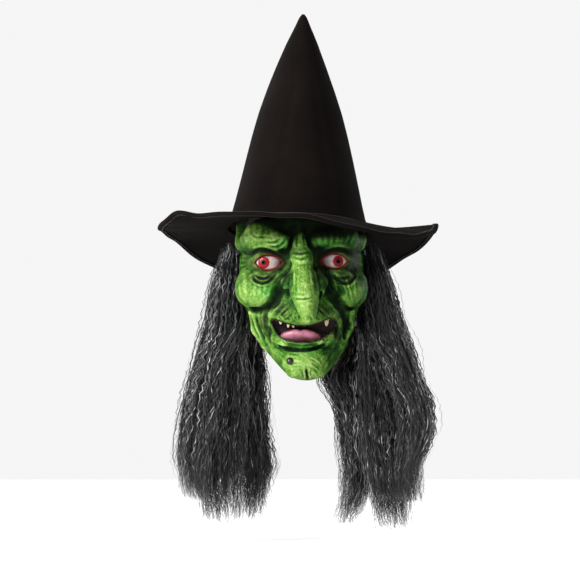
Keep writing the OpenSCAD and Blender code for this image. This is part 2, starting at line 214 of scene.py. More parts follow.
def felt(name, base, lift):
    """Short-pile felt: fuzzy mottling, lint and a soft sheen."""
    s = Shader(name, Roughness=0.95, Specular_IOR_Level=0.02, Sheen_Weight=0.015, Sheen_Roughness=0.4)
    s.set(s.bsdf, {"Sheen Tint": (*lift, 1)})
    fibre = s.noise(1500, 3, 0.7, distortion=1.5)
    cloud = s.noise(14, 5, 0.6)
    lint = s.span(s.noise(420, 2, 0.8, distortion=3), 0.66, 0.78)
    colour = s.mix(s.span(cloud, 0.3, 0.7), base, lift)
    colour = s.mix(s.math("MULTIPLY", s.span(fibre, 0.45, 0.75), 0.5), colour, tuple(1.9 * c for c in lift))
    colour = s.mix(s.math("MULTIPLY", lint, 0.25), colour, tuple(4 * c + 0.01 for c in lift))
    s.bump(fibre, 0.5, 0.7)
    s.bump(cloud, 1.5, 0.3)
    return s.done(Base_Color=colour)


def woven(name, base, light, pitch_mm=1.0, rough=0.85, turn=0.0):
    """Plain weave of two crossed threads."""
    s = Shader(name, Roughness=rough, Specular_IOR_Level=0.15)
    k = 1 / (pitch_mm * MM) / 2
    at = s.place(turn=(0, 0, turn))
    a = s.wave(k / 3.14, "Z", 0.6, at)
    b = s.wave(k / 3.14, "X", 0.6, at)
    c = s.wave(k / 3.14, "Y", 0.6, at)
    weave = s.math("MULTIPLY", s.math("ADD", s.math("ADD", a, b), c), 0.34)
    worn = s.noise(60, 4, 0.6)
    colour = s.mix(s.span(weave, 0.25, 0.85), base, light)
    colour = s.mix(s.span(worn, 0.35, 0.8, 0.0, 0.5), colour, light)
    s.bump(weave, 0.12, 0.6)
    return s.done(Base_Color=colour)

# ---------------------------------------------------------------- head form, as in the CAD

TEMPLE_Z, CAP_RISE, HALF_W, HALF_L = 150, 96, 70, 94
SIDE = ([0, 6, 18, 37, 57, 70, 84, 93, 104, 125, 150], [19, 25, 33, 46, 55, 59, 65, 72, 74, 72, 70])
FRONT = ([0, 8, 16, 27, 38, 46, 60, 70, 85, 130, 150], [90, 99, 103, 101, 93, 99, 98, 101, 98, 91, 94])
BACK = ([0, 60, 100, 150], [60, 80, 90, 94])
LATEX_T = 2.6
LATEX_TOP = 205
GRID_STEP = 1.35          # spacing of the sculpting grid
SKIN_FRONT_Y = -40        # openings are cut only in front of this
EYES = ((-37.5, 135, -14), (37, 136.5, 12))       # middle of each eye and the turn of its gaze
EYE_Y = -57
EYE_R = 22
MOUTH = [(-35, 71), (-26, 69), (-16, 65), (-5, 63), (8, 63), (18, 65.5), (27, 69.5), (35, 72), (39, 69),
         (38, 62), (31, 54), (21, 48), (11, 45.5), (-3, 45), (-17, 47.5), (-26, 53), (-31, 61)]


def dome(z):
    return np.sqrt(np.maximum(0.01, 1 - (np.maximum(z - TEMPLE_Z, 0) / CAP_RISE) ** 2))


def sway(z):
    return np.interp(z, [0, 60, 95], [6, 2.3, 0])


def squareness(z):
    return np.interp(z, [TEMPLE_Z, 172, 190], [2.8, 2.3, 2])


def base_y(x, z):
    """Front of the head without its relief."""
    u = np.minimum(1, np.abs(x - sway(z)) / (np.interp(z, *SIDE) * dome(z)))
    n = squareness(z)
    return -np.interp(z, *FRONT) * dome(z) * (1 - u ** n) ** (1 / n)


def head_distance(x, y, z):
    """Distance to the plain head, negative inside. x, y and z are the grid's three axes."""
    side = (np.interp(z, *SIDE) * dome(z))[None, None, :]
    front = (np.interp(z, *FRONT) * dome(z))[None, None, :]
    back = (np.interp(z, *BACK) * dome(z))[None, None, :]
    u = np.abs(x[:, None, None] - sway(z)[None, None, :]) / side
    v = y[None, :, None]
    n = squareness(z)[None, None, :]
    f = np.where(v < 0, (u ** n + np.abs(v / front) ** n) ** (1 / n), np.sqrt(u * u + (v / back) ** 2)) - 1
    step = x[1] - x[0]
    gx, gy, gz = np.gradient(f, step)
    return (f / np.maximum(0.006, np.sqrt(gx * gx + gy * gy + gz * gz))).astype(np.float32)


# ---------------------------------------------------------------- sculpting in a grid of distances


class Clay:
    """A distance grid that blobs are added to and cut from."""

    def __init__(self, low, high, step):
        self.axes = [np.arange(a, b, step) for a, b in zip(low, high)]
        self.step = step
        self.low = np.array(low, float)
        self.d = head_distance(*self.axes)

    def window(self, low, high):
        """Slices of the grid between two corners, and its coordinates there."""
        cut = [slice(max(0, int((a - l) / self.step)), max(1, int((b - l) / self.step) + 2))
               for a, b, l in zip(low, high, self.low)]
        x, y, z = (axis[c] for axis, c in zip(self.axes, cut))
        return tuple(cut), x[:, None, None], y[None, :, None], z[None, None, :]

    def join(self, cut, e, soft, sign):
        """Adds the shape e for sign 1 and cuts it away for sign -1, with a soft edge."""
        d = self.d[cut]
        a, b = (d, e) if sign > 0 else (-d, e)
        h = np.maximum(soft - np.abs(a - b), 0) / soft
        out = np.minimum(a, b) - h * h * soft / 4
        self.d[cut] = out if sign > 0 else -out

    def tube(self, points, soft=6.0, sign=1):
        """A row of balls (x, z, out, radius) with smooth skin between; out is how far the centre
        stands in front of the plain head."""
        p = [np.array([x, float(base_y(x, z)) - out, z, r]) for x, z, out, r in points]
        if len(p) == 1:
            p = p * 2
        for a, b in zip(p[:-1], p[1:]):
            room = max(a[3], b[3]) + soft + 2
            cut, x, y, z = self.window(np.minimum(a, b)[:3] - room, np.maximum(a, b)[:3] + room)
            ab = (b - a)[:3]
            t = ((x - a[0]) * ab[0] + (y - a[1]) * ab[1] + (z - a[2]) * ab[2]) / max(1e-6, ab @ ab)
            t = np.clip(t, 0, 1)
            e = np.sqrt((x - a[0] - t * ab[0]) ** 2 + (y - a[1] - t * ab[1]) ** 2
                        + (z - a[2] - t * ab[2]) ** 2)
            self.join(cut, e - (a[3] + (b[3] - a[3]) * t), soft, sign)

    def egg(self, x0, z0, out, size, soft=6.0, sign=1, lean=0.0):
        """An ellipsoid with half sizes size, turned by lean degrees in the front view."""
        y0 = float(base_y(x0, z0)) - out
        room = max(size) + soft + 2
        cut, x, y, z = self.window([x0 - room, y0 - room, z0 - room], [x0 + room, y0 + room, z0 + room])
        c, s = math.cos(math.radians(lean)), math.sin(math.radians(lean))
        u, w = (x - x0) * c + (z - z0) * s, (z - z0) * c - (x - x0) * s
        n = np.sqrt((u / size[0]) ** 2 + ((y - y0) / size[1]) ** 2 + (w / size[2]) ** 2)
        g = np.sqrt((u / size[0] ** 2) ** 2 + ((y - y0) / size[1] ** 2) ** 2 + (w / size[2] ** 2) ** 2)
        self.join(cut, n * (n - 1) / np.maximum(g, 1e-4), soft, sign)

    def sample(self, d, points):
        """Distances of a grid at points between its corners."""
        q = (points - self.low) / self.step
        i = np.clip(q.astype(int), 0, np.array(d.shape) - 2)
        f = q - i
        total = 0
        for a in (0, 1):
            for b in (0, 1):
                for c in (0, 1):
                    w = (f[:, 0] if a else 1 - f[:, 0]) * (f[:, 1] if b else 1 - f[:, 1]) \
                        * (f[:, 2] if c else 1 - f[:, 2])
                    total = total + w * d[i[:, 0] + a, i[:, 1] + b, i[:, 2] + c]
        return total


def surface_net(d, low, step):
    """Quads over the zero surface of a distance grid."""
    inside = d < 0
    shape = np.array(d.shape) - 1
    corners = [(a, b, c) for a in (0, 1) for b in (0, 1) for c in (0, 1)]
    total = sum(inside[a:a + shape[0], b:b + shape[1], c:c + shape[2]].astype(np.int8) for a, b, c in corners)
    mixed = (total > 0) & (total < 8)
    cells = np.argwhere(mixed)
    index = np.full(mixed.shape, -1)
    index[mixed] = np.arange(len(cells))
    place = np.zeros((len(cells), 3))
    count = np.zeros(len(cells))
    for a in corners:
        for axis in range(3):
            if a[axis]:
                continue
            b = tuple(1 if n == axis else v for n, v in enumerate(a))
            va = d[tuple((cells + a).T)]
            vb = d[tuple((cells + b).T)]
            cross = (va < 0) != (vb < 0)
            t = np.where(cross, va / np.where(cross, va - vb, 1), 0)
            place += np.where(cross[:, None], np.array(a) + t[:, None] * (np.array(b) - a), 0)
            count += cross
    points = low + step * (cells + place / count[:, None])
    quads = []
    for axis in range(3):
        others = [n for n in range(3) if n != axis]
        near = [slice(1, -1)] * 3
        near[axis] = slice(0, -1)
        far = list(near)
        far[axis] = slice(1, None)
        change = inside[tuple(near)] != inside[tuple(far)]
        out = inside[tuple(near)][change]
        at = np.argwhere(change) + [0 if n == axis else 1 for n in range(3)]
        ring = []
        for p, q in ((1, 1), (0, 1), (0, 0), (1, 0)):
            c = at.copy()
            c[:, others[0]] -= p
            c[:, others[1]] -= q
            ring.append(index[tuple(c.T)])
        quad = np.stack(ring, 1)
        flip = out if axis != 1 else ~out
        quad[~flip] = quad[~flip][:, ::-1]
        quads.append(quad)
    return points, np.concatenate(quads)


def neighbour_pairs(faces):
    """Both ends of every side of the faces."""
    a = faces.ravel()
    b = np.roll(faces, -1, 1).ravel()
    return np.concatenate([a, b]), np.concatenate([b, a])


def relaxed(points, pairs, times, share=0.5):
    a, b = pairs
    count = np.maximum(1, np.bincount(a, minlength=len(points)))
    for _ in range(times):
        mean = np.stack([np.bincount(a, points[b, n], len(points)) for n in range(3)], 1) / count[:, None]
        points = points + share * (mean - points)
    return points


def normals(points, faces):
    p = points[faces]
    n = np.cross(p[:, 2] - p[:, 0], p[:, 3] - p[:, 1])
    total = np.stack([np.bincount(faces.ravel(), np.repeat(n[:, k], 4), len(points)) for k in range(3)], 1)
    return total / np.maximum(1e-9, np.linalg.norm(total, axis=1))[:, None]


def polygon_distance(outline, x, z):
    """Signed distance to a closed outline in the front view, negative inside."""
    p = np.array(outline, float)
    best = np.full(np.broadcast(x, z).shape, 1e9)
    inside = np.zeros(best.shape, bool)
    for (ax, az), (bx, bz) in zip(p, np.roll(p, -1, 0)):
        t = np.clip(((x - ax) * (bx - ax) + (z - az) * (bz - az)) / ((bx - ax) ** 2 + (bz - az) ** 2), 0, 1)
        best = np.minimum(best, np.hypot(x - ax - t * (bx - ax), z - az - t * (bz - az)))
        inside ^= ((az > z) != (bz > z)) & (x < (bx - ax) * (z - az) / (bz - az if bz != az else 1e-9) + ax)
    return np.where(inside, -best, best)


def smooth_outline(points, times=2):
    """Corner cutting of a closed outline."""
    p = np.array(points, float)
    for _ in range(times):
        q = np.roll(p, -1, 0)
        p = np.stack([0.75 * p + 0.25 * q, 0.25 * p + 0.75 * q], 1).reshape(-1, 2)
    return p


def almond_distance(k, x, z, wide=30.5, high=16.6):
    """Distance to the eye opening's outline in the front view: two arcs that meet at its corners."""
    r = (wide ** 2 + high ** 2) / (4 * high)
    cx, cz = EYES[k][:2]
    return np.maximum(np.hypot(x - cx, z - cz - high / 2 + r) - r,
                      np.hypot(x - cx, z - cz + high / 2 - r) - r)


def large_forms(clay):
    """Brows, nose, cheeks, sockets, muzzle, jowls and chin."""
    # brow lobes and the ridge between them
    clay.egg(-40, 167, -7, (25, 15, 19), 8, lean=4)
    clay.tube([(-66, 156, -6, 9), (-56, 161, -5, 12), (-44, 160, -4, 12), (-31, 159, -3, 12),
               (-21, 157, -1, 10.5)], 6)
    clay.tube([(-60, 184, -5, 7), (-65, 176, -5, 8), (-66, 163, -4, 9)], 6)
    clay.tube([(-50, 184, 2, 3), (-56, 168, 3.5, 2.5)], 6, -1)
    clay.egg(40, 168, -8, (24, 15, 17), 8, lean=-4)
    clay.tube([(14, 158, -2, 7.5), (22, 160, -3, 10), (36, 161, -3, 11), (50, 161, -4, 11),
               (63, 158, -6, 10)], 6)
    clay.tube([(62, 176, -6, 7), (66, 162, -4, 8)], 7)
    clay.tube([(52, 178, 2, 3), (57, 166, 3, 2.5), (60, 156, 2, 2)], 5, -1)
    clay.tube([(-2, 176, -3, 5), (-2, 164, -1, 6), (-1, 153, 1, 9)], 6)
    clay.tube([(-9.5, 176, 4, 3.5), (-10.5, 163, 5, 3), (-12, 152, 5, 3)], 5, -1)
    clay.tube([(5, 176, 3, 3), (6, 163, 5, 3), (8.5, 154, 5, 3)], 5, -1)
    # muzzle, cheeks and jowls
    clay.egg(2, 80, -5, (35, 12, 18), 10)
    clay.egg(-46, 102, -7, (25, 14, 18), 12, lean=-8)
    clay.egg(-61, 107, -8, (14, 15, 20), 10)
    clay.egg(-40, 99, -4, (14, 11, 13), 8)
    clay.egg(50, 101, -7, (20, 14, 17), 12, lean=34)
    clay.egg(62, 107, -8, (13, 14, 19), 10)
    clay.tube([(-54, 80, -4, 7), (-49, 60, -4, 7), (-40, 42, -5, 6)], 6)
    clay.tube([(54, 80, -4, 7), (51, 62, -4, 7), (42, 42, -5, 6)], 6)
    # sockets and lids
    for k, side in ((0, -1), (1, 1)):
        ex, ez = EYES[k][:2]
        clay.egg(ex, ez, 3, (21, 13, 12), 6, -1)
        clay.egg(ex - side * 17, ez + 6, 5, (8, 9, 9), 5, -1)
        centre = float(base_y(ex, ez)) - EYE_Y
        clay.egg(ex, ez, centre, (24, 24.4, 24), 3)
        clay.egg(ex + side * 3, ez - 15, -4, (16, 8, 6.5), 5)
    # nose with its hooked free tip, wings and nostrils
    clay.tube([(0, 118, 2, 14), (3, 102, 6, 14), (4, 90, 9, 10)], 8)
    clay.tube([(-1, 160, -2, 6), (-1, 149, 0, 9.5), (0, 138, 4, 11.5), (1, 127, 8.5, 12.5),
               (2.5, 114, 14, 13.6),
               (4, 102, 19, 14), (5, 93, 22.5, 12.6), (6.2, 85, 25, 10.2), (7.4, 78, 25.5, 7.8),
               (8.4, 72, 24, 5.6),
               (9, 67.5, 22, 3.8)], 6)
    clay.egg(-5, 106, 19, (8, 8, 12), 5)
    clay.tube([(-13, 122, 3, 5), (-17.5, 113, 6, 7.4), (-16, 106, 6, 5.4)], 3.5)
    clay.tube([(18, 124, 3, 5.5), (22.5, 112, 6, 8.2), (21, 103, 6, 5.6)], 3.5)
    clay.egg(-16, 101.5, 9, (4, 8, 4.4), 2.5, -1, lean=20)
    clay.egg(20.5, 99, 9, (3.6, 8, 4.2), 2.5, -1, lean=-20)
    clay.egg(13.5, 129, 7, (3.5, 6, 6), 4, -1)
    clay.egg(-13, 131, 7, (3, 6, 5), 4, -1)
    # smile folds and the slots beside the mouth
    clay.tube([(-16, 130, 6, 3.4), (-22.5, 118, 5, 4), (-26, 102, 3, 5), (-31, 91, 3, 5), (-39, 83, 2.5, 4.2),
               (-50, 81, 3, 3.4), (-61, 84, 4, 2.6)], 5, -1)
    clay.tube([(-39, 82, 2, 3), (-42, 72, 2, 3), (-41, 60, 2, 2.5), (-37, 45, 2, 2)], 5, -1)
    clay.tube([(25, 132, 6, 4), (30, 119, 4, 5), (31, 107, 3, 5.4), (36, 97, 3, 5), (43, 87, 3, 4.6),
               (49, 77, 2, 4),
               (51, 65, 2, 3.4), (48, 51, 2, 2.6)], 5, -1)
    clay.tube([(47, 83, 4, 2.5), (59, 84, 4, 2)], 5, -1)
    clay.egg(-36.5, 54, 3, (3.4, 7, 8.5), 3, -1, lean=6)
    clay.egg(39.5, 58, 3, (3.4, 7, 9.5), 3, -1, lean=-4)
    # lips and chin
    clay.tube([(-32, 76, -3, 5), (-18, 71, -3, 5), (2, 69, -3, 5), (20, 71, -3, 5), (34, 77, -3, 5)], 5)
    clay.tube([(-30, 50, -3, 4.5), (-18, 42.5, -2, 4.5), (2, 40.5, -1, 5), (20, 43, -2, 4.5),
               (32, 50, -3, 4.5)], 5)
    clay.tube([(-24, 39, 2, 2.6), (-12, 36, 4, 3), (2, 35, 5, 3), (16, 37, 4, 3), (24, 41, 2, 2.6)], 5, -1)
    clay.egg(4, 21, -8, (25, 17, 15), 8)
    clay.egg(-3, 12, -8, (14, 15, 11), 4)
    clay.egg(14, 12, -9, (12, 15, 11), 4)


def soft_max(a, b, soft):
    h = np.maximum(soft - np.abs(a - b), 0) / soft
    return np.maximum(a, b) + h * h * soft / 4


def latex_shell(step):
    """Distance grid of the latex skin and of the solid head that it wraps."""
    clay = Clay((-84, -142, -6), (84, 50, 209), step)
    large_forms(clay)
    x, y, z = clay.axes[0][:, None, None], clay.axes[1][None, :, None], clay.axes[2][None, None, :]
    floor = np.maximum(10 - np.abs(clay.d + z - 1), 0) / 10
    solid = np.maximum(clay.d, 1 - z) + floor * floor * 2.5
    solid = solid.astype(np.float32)
    shell = np.maximum(solid, -(solid + LATEX_T))
    # rolled edges of the mouth and the eyes
    flat_mouth = polygon_distance(smooth_outline(MOUTH), clay.axes[0][:, None], clay.axes[2][None, :])[:,
                                                                                                       None,
                                                                                                       :]
    lip = np.maximum(np.abs(flat_mouth - 1.3) - 1.3, np.where(y < -60, np.maximum(solid, -solid - 8), 9))
    shell = np.minimum(shell, lip)
    shell = soft_max(shell, np.where(y < SKIN_FRONT_Y, -flat_mouth, -9), 1.6)
    for k in (0, 1):
        ex, ez = EYES[k][:2]
        opening = almond_distance(k, clay.axes[0][:, None], clay.axes[2][None, :])[:, None, :]
        ball = np.sqrt((x - ex) ** 2 + (y - EYE_Y) ** 2 + (z - ez) ** 2)
        shell = soft_max(shell, np.where(y < SKIN_FRONT_Y, np.maximum(-opening, -9), -9), 1.2)
        shell = np.maximum(shell, np.where(y < SKIN_FRONT_Y, EYE_R + 0.4 - ball, -9))
    # jaw line, back edge and top edge
    jaw = np.interp(clay.axes[1], [-95, -82, -60, -36, 0, 37], [-6, 3, 14, 27, 45, 60])[None, :, None]
    rear = 0.44 * (np.interp(clay.axes[2], *BACK) * dome(clay.axes[2]))[None, None, :]
    shell = np.maximum(shell, np.maximum(jaw - z, np.maximum(y - rear, z - LATEX_TOP)))
    return clay, solid, shell.astype(np.float32)


# ---------------------------------------------------------------- fine folds, drawn in the front view


def rounded(line, times=2):
    """Corner cutting of an open line."""
    p = np.array(line, float)
    for _ in range(times):
        mid = np.stack([0.75 * p[:-1] + 0.25 * p[1:], 0.25 * p[:-1] + 0.75 * p[1:]], 1).reshape(-1, 2)
        p = np.concatenate([p[:1], mid[1:-1], p[-1:]])
    return p


def fold(points, depth, width):
    return rounded(points), depth, width


# the main folds, which are deep and get painted shade: line, width of the painted shade and its strength
PAINTED_FOLD_SHADE = [
    ([(-12, 134), (-17, 122), (-22, 108), (-26, 97), (-33, 88), (-42, 83), (-52, 81), (-61, 85)], 3.6, 0.95),
    ([(-40, 83), (-43, 72), (-41, 58), (-36, 47)], 2.6, 0.7),
    ([(15, 134), (24, 118), (28, 106), (34, 96)], 3.8, 0.85),
    ([(34, 96), (41, 87), (47, 78), (50, 64), (47, 52)], 3.2, 0.8),
    ([(46, 84), (56, 83), (64, 88)], 2.4, 0.7),
    ([(-10, 176), (-11, 164), (-13, 152), (-19, 145)], 3.2, 0.95),
    ([(6, 174), (8, 162), (12, 152), (22, 147)], 4.2, 0.95),
    ([(-60, 141), (-53, 147), (-45, 149.5), (-35, 148), (-25, 142.5), (-19, 138)], 2.2, 0.85),
    ([(60, 143), (51, 148.5), (41, 150), (30, 149), (20, 144), (17, 137)], 2.8, 0.9),
    ([(-56, 126), (-53, 115.5), (-45, 111.5), (-36, 114), (-29, 122)], 1.5, 0.55),
    ([(28, 128), (37, 117), (48, 110.5), (57, 112), (61, 122)], 1.8, 0.6),
    ([(-12, 124), (-12, 112), (-13, 100)], 1.9, 0.6), ([(15, 124), (16, 112), (16, 100)], 1.9, 0.65),
    ([(-24, 39), (-12, 36), (2, 35), (16, 37.5), (25, 42)], 2.0, 0.75),
    ([(5, 16), (6.4, 9), (7, 1)], 1.5, 0.7),
    ([(-24, 105), (-18, 101), (-15, 97)], 2.4, 0.6), ([(-9, 70), (-4, 65.5), (4, 63.5), (11, 66), (14, 71)],
                                                      1.6, 0.5),
    ([(-70, 150), (-72, 132), (-73, 112)], 3.0, 0.4),
]


# broad painted shade in the hollows and on the side away from the light: middle, half sizes and strength
PAINTED_SHADES = [(-22, 147, 9, 7, 0.85), (-45, 149, 17, 3.4, 0.7), (24, 147, 10, 9, 0.9), (46, 149.5, 17, 4, 0.75),
          (61, 141, 6, 15, 0.6), (30, 117, 8, 15, 0.75), (43, 100, 8, 13, 0.65), (-42, 118, 13, 6, 0.55),
          (46, 119, 14, 7, 0.5), (-30, 52, 3, 10, 0.4), (-22, 127, 4.5, 9, 0.45),
          (-26, 98, 5.5, 8, 0.6), (48, 70, 4, 16, 0.6), (-25, 82, 9, 7, 0.35),
          (28, 83, 9, 7, 0.4), (56, 55, 5, 22, 0.45), (4, 38, 22, 3, 0.5), (30, 26, 6, 14, 0.35)]


def fan(first, last, count, depth, width, seed):
    """Folds that pass from one line to another, each a little uneven."""
    rng = np.random.default_rng(seed)
    a, b = np.array(first, float), np.array(last, float)
    lines = []
    for n in range(count):
        t = n / max(1, count - 1)
        line = rounded(a + (b - a) * t + rng.normal(0, 0.9, a.shape))
        lines.append((line, 0.85 * depth * rng.uniform(0.4, 1.2), width * rng.uniform(0.8, 1.4)))
    return lines


def both(lines):
    """The same folds on both sides of the face, the right ones a little changed."""
    return lines + [(line * [-1, 1] + [1.5, 1], depth * 0.9, width * 1.05) for line, depth, width in lines]


def folds():
    """Every fold: a line of (x, z), its depth (below 0 for a ridge) and its width."""
    out = [
        # between the brows and over the left brow
        fold([(-10, 172), (-11.5, 160), (-13.5, 150), (-18, 145)], 1.6, 1.8),
        fold([(4, 170), (6.5, 160), (10, 152), (17, 148)], 1.6, 1.8),
        fold([(-4.5, 168), (-6, 158), (-5, 151)], 0.7, 1.2), fold([(1.5, 168), (2, 160), (4, 152)], 0.7, 1.2),
        fold([(-43, 156), (-34, 152.5), (-25, 153), (-19, 159), (-17.5, 167)], 0.8, 1.3),
        fold([(-45, 160), (-35, 157), (-28, 158.5), (-23.5, 164)], 0.7, 1.3),
        fold([(-58, 170), (-52, 163), (-44, 164), (-34, 163)], 0.6, 1.4),
        # folds over and under the eyes
        fold([(-60, 141), (-53, 147), (-46, 150), (-37, 148.5), (-29, 144), (-22, 141)], 2.0, 2.2),
        fold([(58, 142), (51, 148), (43, 150), (34, 149), (26, 145), (20, 142)], 2.0, 2.2),
        fold([(-57, 126), (-54, 115), (-46, 111), (-37, 113), (-29, 121)], 1.3, 1.5),
        fold([(-54, 123), (-48, 116.5), (-40, 116.5), (-33, 121)], 1.1, 1.4),
        fold([(28, 128), (36, 119), (47, 111.5), (55, 111), (61, 119), (60, 129)], 1.3, 1.6),
        fold([(34, 124), (42, 117.5), (50, 117), (55, 123)], 0.9, 1.4),
        # nose
        fold([(-10, 95), (-2, 93.5), (6, 94), (13, 95.5)], 0.9, 1.1),
        fold([(-9, 100), (2, 99), (10, 100)], 0.35, 1.2),
        fold([(-9, 134), (-1, 131), (8, 134)], 0.5, 1.5), fold([(-10, 141), (-1, 138.5), (8, 141)], 0.8, 1.4),
        fold([(-11, 146), (-1, 144), (9, 147)], 0.8, 1.4),
        fold([(-11, 128), (-11, 118), (-11.5, 106)], 1.1, 1.6),
        fold([(13, 128), (14, 118), (15.5, 106)], 1.1, 1.6),
        # chin
        fold([(5, 17), (6.2, 9), (6.8, 1)], 1.9, 1.5), fold([(9, 13), (10.5, 7)], 0.7, 1.1),
        fold([(1, 12), (2, 6)], 0.6, 1.1), fold([(-24, 39), (-12, 36), (2, 35), (16, 37.5), (25, 42)], 1.2,
                                                1.6),
        fold([(-27, 47), (-14, 42.5), (3, 41.2), (19, 43.5), (29, 48)], 0.8, 1.2),
        fold([(-18, 33), (-8, 31.5), (2, 32)], 0.6, 1.3),
        # jowls on the left
        fold([(-58, 78), (-56, 66), (-50, 53), (-45, 44)], 1.0, 1.6),
    ]
    out += both([fold([(-52, 80), (-50, 66), (-44, 52), (-39, 42)], 1.2, 1.6)])
    out += both([fold([(-46, 79), (-46.5, 66), (-42, 55), (-38, 48)], 1.0, 1.4)])
    out += both(fan([(-71, 148), (-64, 147), (-59, 143)], [(-72, 124), (-65, 128), (-60, 131)], 7, 0.7, 1.2,
                    1))
    out += both(fan([(-38, 75), (-30, 86), (-17, 97)], [(-22, 68), (-16, 73), (-11, 78)], 7, 0.9, 1.3, 2))
    out += both(fan([(-33, 44), (-24, 36), (-14, 30)], [(-40, 40), (-30, 28), (-22, 16)], 5, 0.6, 1.4, 3))
    out += fan([(8, 32), (18, 29), (25, 21)], [(9, 17), (15, 13), (19, 6)], 7, 0.55, 1.2, 4)
    out += fan([(-12, 12), (-4, 15), (3, 12)], [(-14, 30), (-4, 31), (4, 28)], 5, 0.3, 1.3, 5)
    out += fan([(24, 128), (33, 112), (42, 96)], [(55, 122), (58, 110), (58, 97)], 8, 0.7, 1.3, 6)
    out += fan([(63, 124), (67, 113), (68, 98)], [(52, 106), (56, 98), (56, 89)], 4, 0.6, 1.4, 7)
    out += fan([(-68, 122), (-67, 108), (-64, 94)], [(-30, 112), (-33, 102), (-36, 92)], 7, 0.4, 1.6, 8)
    out += fan([(-57, 181), (-55, 172), (-57, 158)], [(-24, 178), (-23, 172), (-26, 167)], 6, 0.4, 1.8, 9)
    out += fan([(20, 176), (26, 165), (24, 153)], [(64, 172), (62, 162), (56, 151)], 7, 0.8, 1.6, 10)
    out += fan([(-12, 125), (-24, 117), (-30, 104)], [(-18, 131), (-33, 124), (-43, 113)], 4, 0.5, 1.3, 11)
    out += fan([(-7, 142), (-7, 118), (-8, 92)], [(8, 142), (9, 118), (11, 92)], 7, 0.22, 0.9, 12)
    out += fan([(-28, 49), (-30, 45)], [(28, 50), (31, 45)], 15, 0.5, 1.0, 13)
    out += fan([(-30, 74), (-26, 70)], [(31, 75), (33, 71)], 15, 0.5, 1.0, 14)
    out += fan([(-62, 130), (-50, 125), (-30, 126)], [(-60, 118), (-48, 106), (-32, 108)], 6, 0.35, 1.0, 15)
    out += fan([(56, 133), (46, 126), (28, 130)], [(60, 124), (48, 108), (30, 116)], 6, 0.4, 1.0, 16)
    return out


def line_distance(line, x, z, reach):
    """Points near a line in the front view: their indices, distance, and how far along it they lie."""
    near = np.flatnonzero((x > line[:, 0].min() - reach) & (x < line[:, 0].max() + reach)
                          & (z > line[:, 1].min() - reach) & (z < line[:, 1].max() + reach))
    best = np.full(len(near), 1e9)
    along = np.zeros(len(near))
    for n, (a, b) in enumerate(zip(line[:-1], line[1:])):
        px, pz = x[near] - a[0], z[near] - a[1]
        ab = b - a
        t = np.clip((px * ab[0] + pz * ab[1]) / (ab @ ab), 0, 1)
        far = np.hypot(px - t * ab[0], pz - t * ab[1])
        along = np.where(far < best, (n + t) / (len(line) - 1), along)
        best = np.minimum(best, far)
    return near, best, along


def painted_fold_shade(x, z):
    """Painted shade along the main folds."""
    total = np.zeros(len(x))
    for line, width, strength in PAINTED_FOLD_SHADE:
        near, far, along = line_distance(rounded(line), x, z, 2.6 * width)
        taper = smoothstep(0, 0.12, along) * smoothstep(0, 0.12, 1 - along) * 0.7 + 0.3
        total[near] = np.maximum(total[near], strength * taper * np.exp(-(far / width) ** 2))
    return total


def fold_height(x, z):
    """Height that the fine folds add at points of the front view."""
    total = np.zeros(len(x))
    for line, depth, width in folds():
        near, best, along = line_distance(line, x, z, 3.2 * width)
        taper = smoothstep(0, 0.25, along) * smoothstep(0, 0.25, 1 - along) * 0.9 + 0.1
        q = best / width
        shape = -np.exp(-q * q) + 0.38 * np.exp(-(q - 1.9) ** 2)
        total[near] += depth * taper * shape
    return total


def sculpted_face(step):
    """The latex skin with its folds: points, quads and the values its material reads."""
    clay, solid, shell = latex_shell(step)
    points, quads = surface_net(shell, clay.low, step)
    pairs = neighbour_pairs(quads)
    points = relaxed(points, pairs, 1, 0.5)
    deep = clay.sample(solid, points)
    outer = smoothstep(-1.9, -1.0, deep)
    x, y, z = points.T
    n = normals(points, quads)
    facing = smoothstep(-0.05, 0.35, -n[:, 1]) * smoothstep(-10, -35, y)
    height = fold_height(x, z) * facing
    height += 0.35 * waves(points * [1, 0.7, 1], 11, 21, 24) + 0.16 * waves(points, 4.5, 22, 30)
    points = points + n * (height * outer)[:, None]
    n = normals(points, quads)
    fine = ((relaxed(points, pairs, 5) - points) * n).sum(1)
    broad = ((relaxed(points, pairs, 30, 0.6) - points) * n).sum(1)
    return clay, points, quads, outer, fine, broad


